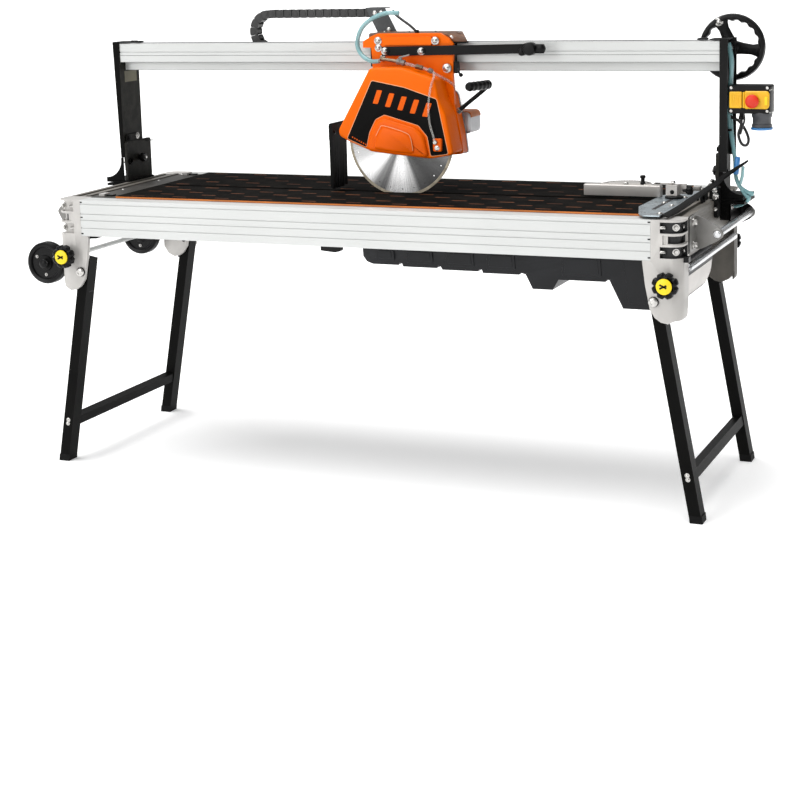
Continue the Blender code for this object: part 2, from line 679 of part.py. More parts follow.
def blade():
    solid("saw_blade", "steel", disc("Y", BLADE_AT, BLADE_RADIUS, *BLADE_Y, 72),
          *cut(disc("Y", BLADE_AT, 12.8, 335, 355, 24)),
          origin=(BLADE_AT[0], 345, BLADE_AT[1]))
    profile = [(11, 320), (11, 326), (20, 326), (20, 334), (32, 336), (32, 343.2), (12.5, 343.2),
               (12.5, 346.8), (32, 346.8), (32, 354), (14, 356), (14, 411), (38, 411), (38, 431),
               (14, 431), (14, 446)]
    solid("arbor", "steel", turned("Y", BLADE_AT, profile, 24),
          origin=(BLADE_AT[0], 345, BLADE_AT[1]), smooth=True)


def push_handle():
    bar = rod([(223, 482, 1133), (223, 462, 1134), (240, 440, 1150), (300, 422, 1199)], 7, 12)
    grip = rod([(303, 432, 1206), (300, 422, 1206), (270, 330, 1206), (267, 322, 1206)], 14, 16)
    solid("push_handle", "black_plastic", bar, *add(grip),
          origin=(PLUNGE_AXIS[0], 420, PLUNGE_AXIS[1]))


def water_valve():
    line = rod([(-30, 340, 1291), (60, 340, 1277), (150, 340, 1251)], 6.5, 12)
    solid("water_valve", "brass", line,
          *add(disc("Z", (60.0, 340.0), 9, 1276, 1292, 12),
               box(95, 118, 329, 351, 1257, 1279)))


def splash_flap():
    x, z = FLAP_HINGE
    solid("splash_flap", "rubber", box(-190, -176, 300, 410, 881, 1086),
          *add(disc("Y", FLAP_HINGE, 6.4, 300, 410, 16)),
          origin=(x, 355, z))


# ---------------------------------------------------------------- fence

def fence():
    x, y = SWIVEL_AT
    base = box(878, 912, 352, 392, 884, 918)
    solid("fence_base", "fence_grey", base,
          *add(disc("Z", (903.0, 352.0), 24, 880.4, 886, 24),
               box(880, 930, 388, 398, 888, 918),
               disc("Z", SWIVEL_AT, 4, 915, 926, 16)),
          *cut(disc("X", (386.0, 899.0), 4.4, 918, 935, 16)),
          origin=(x, y, 880.4))
    scale = [(750 + 77 * math.cos(t), 378 + 77 * math.sin(t))
             for t in (math.pi * i / 16 for i in range(17))]
    solid("fence_bar", "fence_grey", box(622, 860, 362, 390, 880.5, 914),
          *add(prism("Z", scale, 912, 916.5),
               box(838, 858, 364, 380, 910, 922),
               box(838, 900, 364, 380, 918.4, 922),
               disc("Z", SWIVEL_AT, 11, 918.4, 922, 16),
               disc("Z", (826.0, 384.0), 7, 910, 944, 16)),
          *cut(disc("Z", SWIVEL_AT, 4.3, 916, 924, 16)),
          origin=(x, y, 918.4))
    knob = [(11, 951), (12, 948), (12, 936), (7, 931), (7, 930.4), (4, 930.4), (4, 921)]
    solid("fence_knob", "black_plastic", turned("X", (386.0, 899.0), knob, 16),
          origin=(930.4, 386, 899), smooth=True)


# ---------------------------------------------------------------- whole machine

def main():
    for old in list(bpy.data.objects):
        bpy.data.objects.remove(old)
    rail("rail_front", False)
    rail("rail_rear", True)
    for end, side in (("left", -1), ("right", 1)):
        casting(f"casting_front_{end}", side, False)
        casting(f"casting_rear_{end}", side, True)
        end_rail(f"end_rail_{end}", side)
        carry_handle(f"carry_handle_{end}", side)
        cross_tube(f"cross_tube_{end}", side)
        post_bracket(f"post_bracket_{end}", side)
        leg_frame(f"leg_frame_{end}", side)
        leg_knob(f"leg_knob_front_{end}", side, False)
        leg_knob(f"leg_knob_rear_{end}", side, True)
        post(f"post_{end}", side)
        bevel_knob(f"bevel_knob_{end}", side)
    table()
    water_tank()
    wheel_axle()
    for end, span in zip(("front", "rear"), WHEEL_Y):
        transport_wheel(f"transport_wheel_{end}", span)
    fence_track()
    splash_strip()
    beam()
    handwheel()
    switch_box()
    energy_chain()
    carriage()
    head_arm()
    blade_guard()
    belt_cover()
    motor()
    drive_belt()
    blade()
    push_handle()
    water_valve()
    splash_flap()
    fence()


main()
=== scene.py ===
"""Looks of the wet tile saw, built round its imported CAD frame.

Points are given in the machine's own millimetres, as in the CAD source: x runs along the table
from its middle, y away from the operator from the front rail's face, z up from the floor. at()
turns them into the frame's metres.
"""

import math
import random

import bmesh
import bpy
from mathutils import Matrix, Vector
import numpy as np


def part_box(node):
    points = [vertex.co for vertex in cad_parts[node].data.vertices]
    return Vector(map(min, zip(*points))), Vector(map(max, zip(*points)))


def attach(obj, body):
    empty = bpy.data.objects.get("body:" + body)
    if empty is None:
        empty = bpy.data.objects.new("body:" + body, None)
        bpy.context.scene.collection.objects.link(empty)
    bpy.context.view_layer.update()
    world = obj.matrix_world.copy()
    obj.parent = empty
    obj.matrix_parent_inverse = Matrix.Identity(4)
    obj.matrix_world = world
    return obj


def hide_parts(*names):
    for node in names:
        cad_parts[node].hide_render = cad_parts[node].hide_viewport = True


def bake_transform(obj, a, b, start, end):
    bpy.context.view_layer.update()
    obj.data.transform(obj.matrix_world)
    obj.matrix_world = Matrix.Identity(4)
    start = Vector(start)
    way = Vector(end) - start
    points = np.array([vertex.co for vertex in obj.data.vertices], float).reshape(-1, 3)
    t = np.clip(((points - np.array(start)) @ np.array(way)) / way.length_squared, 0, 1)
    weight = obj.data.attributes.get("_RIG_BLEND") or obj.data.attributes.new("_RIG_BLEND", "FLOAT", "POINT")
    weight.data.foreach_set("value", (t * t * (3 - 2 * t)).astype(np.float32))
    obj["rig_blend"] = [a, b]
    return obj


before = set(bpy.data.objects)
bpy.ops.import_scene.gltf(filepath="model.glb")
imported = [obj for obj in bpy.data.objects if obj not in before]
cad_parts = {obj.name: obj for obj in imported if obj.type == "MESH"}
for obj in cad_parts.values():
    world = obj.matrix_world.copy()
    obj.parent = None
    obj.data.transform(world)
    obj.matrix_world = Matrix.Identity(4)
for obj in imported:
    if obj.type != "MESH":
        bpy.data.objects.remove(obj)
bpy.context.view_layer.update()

MM = 0.001
MIDDLE_X, MIDDLE_Y = 7.5, 367.5     # the frame's origin in machine millimetres
DEPTH = 735.0                       # front rail's face to rear rail's face
MERGE = 0.00002                     # metres; closes the seams of a CAD mesh

# Axes along y, as (x, z); for paired pieces, the right one's.
LEG_PIVOT = (935, 638)
KNOB_AXIS = (976, 691)
WHEEL_AXIS = (-1086, 655)
LIFT_TUBE = (1080, 811)
CRANK_AXIS = (1024, 1309)
BLADE_AXIS = (38, 1037)
PLUNGE_AXIS = (183, 1259)
MOTOR_AXIS = (172, 1082)
STOP_AXIS = (1117, 1161)
INLET_AXIS = (1137, 466)            # along z, as (x, y)
TILT_AXIS = (452, 938)              # along x, as (y, z)
BLADE_Y = 345
CHAIN_BEND = (-505.0, 1368.0)       # centre of the chain's half turn
CHAIN_NEAR, CHAIN_FAR = 533.0, 571.0
CHAIN_WALL = 5                      # thickness of a link's side plates
CHAIN_EYE = 7.5                     # radius of a link's joint
SIDES = (("left", -1), ("right", 1))
DEPTHS = (("front", False), ("rear", True))
ALONG_Y, BACK_Y, UP = (0, 1, 0), (0, -1, 0), (0, 0, 1)

rng = random.Random(7)


# ---------------------------------------------------------------- shapes

def at(x, y, z):
    """A machine point in millimetres as a vector in the frame's metres."""
    return Vector(((x - MIDDLE_X) * MM, (y - MIDDLE_Y) * MM, z * MM))


def polar(centre, radius, angle):
    """The point at an angle and radius round a centre, in the centre's plane."""
    return centre[0] + radius * math.cos(angle), centre[1] + radius * math.sin(angle)


def arc(centre, radius, start, stop, steps):
    """Points from a start to a stop angle in degrees, both included."""
    return [polar(centre, radius, math.radians(start + (stop - start) * k / steps))
            for k in range(steps + 1)]


def ring_y(centre, y, count, reach):
    """Points round an axis along y through (x, z); reach gives the radius at an angle."""
    made = []
    for i in range(count):
        a = 2 * math.pi * i / count
        x, z = polar(centre, reach(a), a)
        made.append(at(x, y, z))
    return made


def from_front(value, rear):
    """A depth measured from the front face, or from the rear face for a rear piece."""
    return DEPTH - value if rear else value


def on_axis(axis, u, v, w):
    """The point with u and v across the axis, in x, y, z order, and w along it."""
    if axis == "X":
        return at(w, u, v)
    if axis == "Y":
        return at(u, w, v)
    return at(u, v, w)


def fillet(outline, radius, steps=5):
    """The closed outline with each corner rounded, as far as its sides allow."""
    made = []
    count = len(outline)
    for i in range(count):
        here = Vector(outline[i])
        before = Vector(outline[i - 1]) - here
        after = Vector(outline[(i + 1) % count]) - here
        reach = min(radius, before.length * 0.45, after.length * 0.45)
        start = here + before.normalized() * reach
        end = here + after.normalized() * reach
        for k in range(steps + 1):
            t = k / steps
            point = start * (1 - t) ** 2 + here * 2 * t * (1 - t) + end * t ** 2
            made.append((point.x, point.y))
    return made


def rect(u0, u1, v0, v1):
    """A rectangle's outline between two limits each way."""
    return [(u0, v0), (u1, v0), (u1, v1), (u0, v1)]


def signed_area(outline):
    """Positive for an outline that runs anticlockwise."""
    total = 0.0
    for (ax, ay), (bx, by) in zip(outline, outline[1:] + outline[:1]):
        total += ax * by - bx * ay
    return total / 2


def inset(outline, distance):
    """The closed outline moved inwards by a distance along its corners' normals."""
    turn = 1 if signed_area(outline) > 0 else -1
    made = []
    count = len(outline)
    for i in range(count):
        a = Vector(outline[i - 1])
        b = Vector(outline[i])
        c = Vector(outline[(i + 1) % count])
        one = (b - a).normalized()
        two = (c - b).normalized()
        normal = Vector((-(one.y + two.y), one.x + two.x))
        if normal.length < 1e-6:
            normal = Vector((-one.y, one.x))
        normal.normalize()
        share = max(0.5, abs(normal.dot(Vector((-one.y, one.x)))))
        point = b + normal * (turn * distance / share)
        made.append((point.x, point.y))
    return made


def skin(shape, rings, closed, mat=0):
    """Quads between consecutive rings of points; closed joins the last ring to the first."""
    rows = [[shape.verts.new(p) for p in ring] for ring in rings]
    for low, high in zip(rows, rows[1:] + rows[:1] if closed else rows[1:]):
        for i in range(len(low)):
            j = (i + 1) % len(low)
            shape.faces.new((low[i], low[j], high[j], high[i])).material_index = mat
    return rows


def loft(shape, rings, mat=0):
    """A solid through the rings, capped at both ends."""
    rows = skin(shape, rings, False, mat)
    shape.faces.new(rows[0]).material_index = mat
    shape.faces.new(list(reversed(rows[-1]))).material_index = mat


def prism(shape, axis, outline, low, high, mat=0):
    """A straight solid: the outline between two positions along an axis."""
    loft(shape, [[on_axis(axis, u, v, w) for u, v in outline] for w in (low, high)], mat)


def pillow(shape, axis, outline, steps, mat=0):
    """A solid from (inset distance, position along the axis) steps, for rounded or domed faces."""
    loft(shape, [[on_axis(axis, u, v, w) for u, v in inset(outline, d)] for d, w in steps], mat)


def block(shape, x0, x1, y0, y1, z0, z1, mat=0):
    """A box between two limits along each axis."""
    prism(shape, "Z", rect(x0, x1, y0, y1), z0, z1, mat)


def spin(shape, centre, axis, profile, sides=24, mat=0):
    """Turns (radius, along) steps round an axis through centre, in millimetres."""
    turn = Vector(axis).to_track_quat("Z", "Y")
    origin = at(*centre)
    rows = []
    for radius, along in profile:
        if radius <= 0:
            rows.append([shape.verts.new(origin + turn @ Vector((0, 0, along * MM)))])
            continue
        row = []
        for i in range(sides):
            x, y = polar((0, 0), radius, 2 * math.pi * i / sides)
            row.append(shape.verts.new(origin + turn @ (Vector((x, y, along)) * MM)))
        rows.append(row)
    for low, high in zip(rows, rows[1:]):
        for i in range(sides):
            j = (i + 1) % sides
            corners = [low[i % len(low)], low[j % len(low)], high[j % len(high)], high[i % len(high)]]
            unique = list(dict.fromkeys(corners))
            if len(unique) > 2:
                shape.faces.new(unique).material_index = mat
    for row in (rows[0], rows[-1]):
        if len(row) > 2:
            shape.faces.new(row).material_index = mat


def spin_y(shape, centre, profile, sides=24, mat=0):
    """Turns (radius, y) steps round an axis along y through (x, z)."""
    spin(shape, (centre[0], 0, centre[1]), ALONG_Y, profile, sides, mat)


def spin_z(shape, centre, profile, sides=24, mat=0):
    """Turns (radius, z) steps round an axis along z through (x, y)."""
    spin(shape, (*centre, 0), UP, profile, sides, mat)


def bolt(shape, centre, axis, radius, height, mat=0, style="socket"):
    """A washer and a socket, hexagon or domed head, standing along the axis."""
    spin(shape, centre, axis, [(radius * 1.6, -0.5), (radius * 1.6, height * 0.22),
                               (radius * 1.5, height * 0.3), (radius * 0.5, height * 0.3)], 20, mat)
    if style == "hex":
        spin(shape, centre, axis, [(radius, 0), (radius, height * 0.85), (radius * 0.86, height)], 6, mat)
    elif style == "dome":
        spin(shape, centre, axis, [(radius, 0), (radius, height * 0.5),
                                   (radius * 0.75, height * 0.85), (radius * 0.3, height),
                                   (0, height)], 16, mat)
    else:
        spin(shape, centre, axis, [(radius, 0), (radius, height * 0.88), (radius * 0.88, height),
                                   (radius * 0.5, height), (radius * 0.5, height * 0.45),
                                   (0, height * 0.45)], 18, mat)


def smooth_path(points, per=6):
    """A Catmull-Rom path through millimetre points, as metre vectors."""
    knots = [at(*p) for p in points]
    knots = [knots[0] * 2 - knots[1]] + knots + [knots[-1] * 2 - knots[-2]]
    made = []
    for a, b, c, d in zip(knots, knots[1:], knots[2:], knots[3:]):
        for k in range(per):
            t = k / per
            made.append(0.5 * (b * 2 + (c - a) * t + (a * 2 - b * 5 + c * 4 - d) * t ** 2
                               + (b * 3 - a - c * 3 + d) * t ** 3))
    made.append(knots[-2])
    return made


def tube(shape, path, radius, sides=12, mat=0):
    """A round tube along metre vectors; radius is in millimetres or a function of the share."""
    rings = []
    normal = None
    for i, point in enumerate(path):
        ahead = path[min(i + 1, len(path) - 1)] - path[max(i - 1, 0)]
        heading = ahead.normalized()
        if normal is None:
            normal = heading.orthogonal().normalized()
        normal = (normal - heading * normal.dot(heading)).normalized()
        side = heading.cross(normal)
        size = radius(i / (len(path) - 1)) if callable(radius) else radius
        ring = []
        for k in range(sides):
            a = 2 * math.pi * k / sides
            ring.append(point + (normal * math.cos(a) + side * math.sin(a)) * size * MM)
        rings.append(ring)
    loft(shape, rings, mat)


def hose(shape, points, per, radius, sides=12, mat=0):
    """A round tube along a smooth path through millimetre points."""
    tube(shape, smooth_path(points, per), radius, sides, mat)


def node_shape(name):
    """A welded copy of a CAD node's mesh, in the frame's metres."""
    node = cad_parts[name]
    shape = bmesh.new()
    shape.from_mesh(node.data)
    shape.transform(node.matrix_world)
    bmesh.ops.remove_doubles(shape, verts=shape.verts, dist=MERGE)
    return shape


def piece(name, shape, materials, body, replaces=(), bevel=0.0, sharp=38):
    """Makes the shape a smooth-shaded object with sharp creases that rides on a body.

    materials names the finishes in M, in the order of the faces' material numbers.
    """
    bmesh.ops.recalc_face_normals(shape, faces=shape.faces)
    mesh = bpy.data.meshes.new(name)
    shape.to_mesh(mesh)
    shape.free()
    for key in materials.split():
        mesh.materials.append(M[key])
    mesh.polygons.foreach_set("use_smooth", [True] * len(mesh.polygons))
    mesh.set_sharp_from_angle(angle=math.radians(sharp))
    made = bpy.data.objects.new(name, mesh)
    bpy.context.scene.collection.objects.link(made)
    if bevel:
        soften(made, bevel)
    if body:
        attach(made, body)
    if replaces:
        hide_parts(*replaces)
    return made


def soften(made, width, angle=34, harden=True):
    """A two-step bevel, width in millimetres, on edges sharper than the angle."""
    edge = made.modifiers.new("Bevel", "BEVEL")
    edge.width = width * MM
    edge.segments = 2
    edge.limit_method = "ANGLE"
    edge.angle_limit = math.radians(angle)
    edge.harden_normals = harden
    edge.use_clamp_overlap = True


def carved(made, cutter):
    """Cuts the cutter's shape out of a single-shell piece."""
    bmesh.ops.recalc_face_normals(cutter, faces=cutter.faces)
    mesh = bpy.data.meshes.new("cutter")
    cutter.to_mesh(mesh)
    cutter.free()
    tool = bpy.data.objects.new("cutter", mesh)
    bpy.context.scene.collection.objects.link(tool)
    step = made.modifiers.new("Boolean", "BOOLEAN")
    step.object = tool
    step.operation = "DIFFERENCE"
    step.solver = "EXACT"
    bpy.context.view_layer.update()
    graph = bpy.context.evaluated_depsgraph_get()
    result = bpy.data.meshes.new_from_object(made.evaluated_get(graph))
    made.modifiers.remove(step)
    made.data = result
    bpy.data.objects.remove(tool)
    made.data.set_sharp_from_angle(angle=math.radians(38))


def dress(node, finish, bevel=0.0):
    """Gives a CAD node its material, soft edges and clean shading."""
    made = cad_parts[node]
    made.data.materials.clear()
    made.data.materials.append(M[finish])
    for name in [a.name for a in made.data.attributes if a.name == "custom_normal"]:
        made.data.attributes.remove(made.data.attributes[name])
    made.data.polygons.foreach_set("use_smooth", [True] * len(made.data.polygons))
    weld = made.modifiers.new("Weld", "WELD")
    weld.merge_threshold = MERGE
    flat = made.modifiers.new("Flat", "DECIMATE")
    flat.decimate_type = "DISSOLVE"
    flat.angle_limit = math.radians(0.6)
    if bevel:
        soften(made, bevel, 30, False)
    made.modifiers.new("Normals", "WEIGHTED_NORMAL").weight = 60


# ---------------------------------------------------------------- materials

def add_node(tree, kind, inputs, **settings):
    """A shader node whose inputs are values or other nodes' outputs."""
    made = tree.nodes.new("ShaderNode" + kind)
    for name, value in settings.items():
        setattr(made, name, value)
    for key, value in inputs.items():
        if isinstance(value, bpy.types.NodeSocket):
            tree.links.new(value, made.inputs[key])
        else:
            made.inputs[key].default_value = value
    return made


def ranged(tree, source, low, high, to_low, to_high):
    limits = {"From Min": low, "From Max": high, "To Min": to_low, "To Max": to_high}
    return add_node(tree, "MapRange", {"Value": source, **limits}).outputs["Result"]


def mixed(tree, first, second, factor):
    start = (*first, 1) if isinstance(first, tuple) else first
    inputs = {"A": start, "B": (*second, 1), "Factor": factor}
    return add_node(tree, "Mix", inputs, data_type="RGBA").outputs["Result"]


def product(tree, one, two):
    return add_node(tree, "Math", {0: one, 1: two}, operation="MULTIPLY").outputs[0]


def surface(name, colour, rough, metal=0.0, *, grain=900.0, bump=0.05, stretch=(1, 1, 1), tint=0.06,
            rough_span=0.08, edge_wear_and_highlight=0.0, edge_wear_and_highlight_colour=(0.5, 0.5, 0.5), coat=0.0, patch=9.0, dirt=0.0,
            dirt_colour=(0.25, 0.22, 0.18), shine=0.5):
    """A procedural finish: fine grain, slow colour drift, settled dust, and sharp edges shifted to a lighter
    colour that is partly wear and partly a painted edge highlight.
    """
    material = bpy.data.materials.new(name)
    material.use_nodes = True
    tree = material.node_tree
    shader = tree.nodes["Principled BSDF"]
    for key, value in (("Metallic", metal), ("Coat Weight", coat), ("Coat Roughness", 0.12),
                       ("Specular IOR Level", shine)):
        shader.inputs[key].default_value = value
    where = add_node(tree, "TexCoord", {}).outputs["Object"]
    scaled = add_node(tree, "Mapping", {"Vector": where, "Scale": stretch}).outputs["Vector"]
    fine = add_node(tree, "TexNoise", {"Vector": scaled, "Scale": grain, "Detail": 4}).outputs["Fac"]
    slow = add_node(tree, "TexNoise", {"Vector": where, "Scale": patch, "Detail": 3}).outputs["Fac"]

    darker = tuple(c * (1 - tint * 1.6) for c in colour)
    lighter = tuple(min(1.0, c * (1 + tint)) for c in colour)
    tone = mixed(tree, darker, lighter, ranged(tree, slow, 0.35, 0.65, 0, 1))
    speckle = ranged(tree, fine, 0.58, 0.72, 0, tint * 2.2)
    tone = mixed(tree, tone, tuple(c * 0.75 for c in colour), speckle)
    normal = add_node(tree, "NewGeometry", {}).outputs["Normal"]
    if dirt:
        height = add_node(tree, "SeparateXYZ", {"Vector": normal}).outputs["Z"]
        settled = product(tree, ranged(tree, height, 0.4, 1.0, 0, dirt),
                          ranged(tree, slow, 0.4, 0.7, 0, 1))
        tone = mixed(tree, tone, dirt_colour, settled)
    # Sharp edges shift towards a lighter colour: partly worn paint, partly a painted highlight along the
    # edges.
    if edge_wear_and_highlight:
        rounded = add_node(tree, "Bevel", {"Radius": 0.0016}, samples=4).outputs["Normal"]
        facing = add_node(tree, "VectorMath", {0: normal, 1: rounded}, operation="DOT_PRODUCT")
        edges = ranged(tree, facing.outputs["Value"], 0.985, 0.93, 0, edge_wear_and_highlight)
        worn_and_lit_edges = product(tree, edges, ranged(tree, slow, 0.42, 0.6, 0, 1))
        tone = mixed(tree, tone, edge_wear_and_highlight_colour, worn_and_lit_edges)
    tree.links.new(tone, shader.inputs["Base Color"])
    gloss = ranged(tree, fine, 0.3, 0.7, rough - rough_span, rough + rough_span)
    tree.links.new(gloss, shader.inputs["Roughness"])
    relief = add_node(tree, "Bump", {"Strength": bump, "Distance": 0.0006, "Height": fine})
    tree.links.new(relief.outputs["Normal"], shader.inputs["Normal"])
    return material


def clear_hose(name, colour, see_through):
    """Soft tubing that lets part of what lies behind it show, with faint streaks."""
    material = surface(name, colour, 0.22, grain=260, bump=0.03, tint=0.12, coat=0.3)
    shader = material.node_tree.nodes["Principled BSDF"]
    shader.inputs["Alpha"].default_value = 1 - see_through
    return material


def painted_sheen_steel(name):
    """Ground steel with a painted sheen: its colour fans out from the blade's centre in light and dark
    sectors.
    """
    material = surface(name, (0.6, 0.6, 0.6), 0.3, 0.6, grain=500, bump=0.02, tint=0.05)
    tree = material.node_tree
    where = add_node(tree, "TexCoord", {}).outputs["Object"]
    middle = at(BLADE_AXIS[0], BLADE_Y, BLADE_AXIS[1])
    offset = add_node(tree, "VectorMath", {0: where, 1: middle}, operation="SUBTRACT")
    split = add_node(tree, "SeparateXYZ", {"Vector": offset.outputs["Vector"]}).outputs
    angle = add_node(tree, "Math", {0: split["Z"], 1: split["X"]}, operation="ARCTAN2").outputs[0]
    # The light and dark sectors are a painted reflection, laid into the colour by angle round the blade.
    fan = add_node(tree, "ValToRGB", {"Fac": ranged(tree, angle, -math.pi, math.pi, 0, 1)})
    fan.color_ramp.interpolation = "EASE"
    sectors = [(-180, 0.40), (-163, 0.55), (-146, 1.0), (-134, 0.95), (-122, 0.26), (-113, 0.16),
               (-103, 0.85), (-88, 1.0), (-76, 0.62), (-66, 0.10), (-50, 0.06), (-30, 0.09),
               (-12, 0.28), (10, 0.25), (40, 0.7), (75, 0.2), (100, 0.9), (140, 0.3)]
    ramp = fan.color_ramp.elements
    ramp[0].position = 0.0
    ramp[1].position = 1.0
    ramp[0].color = ramp[1].color = (sectors[0][1],) * 3 + (1,)
    for degrees, level in sectors[1:]:
        ramp.new((degrees + 180) / 360).color = (level, level, level, 1)
    # Noise along the angle adds narrow streaks to the painted sheen.
    streaks = add_node(tree, "TexNoise", {"W": angle, "Scale": 60, "Detail": 3}, noise_dimensions="1D")
    strength = ranged(tree, streaks.outputs["Fac"], 0.3, 0.7, 0.72, 1.15)
    tone = add_node(tree, "VectorMath", {0: fan.outputs["Color"], "Scale": strength}, operation="SCALE")
    shader = tree.nodes["Principled BSDF"]
    tree.links.new(tone.outputs["Vector"], shader.inputs["Base Color"])
    return material


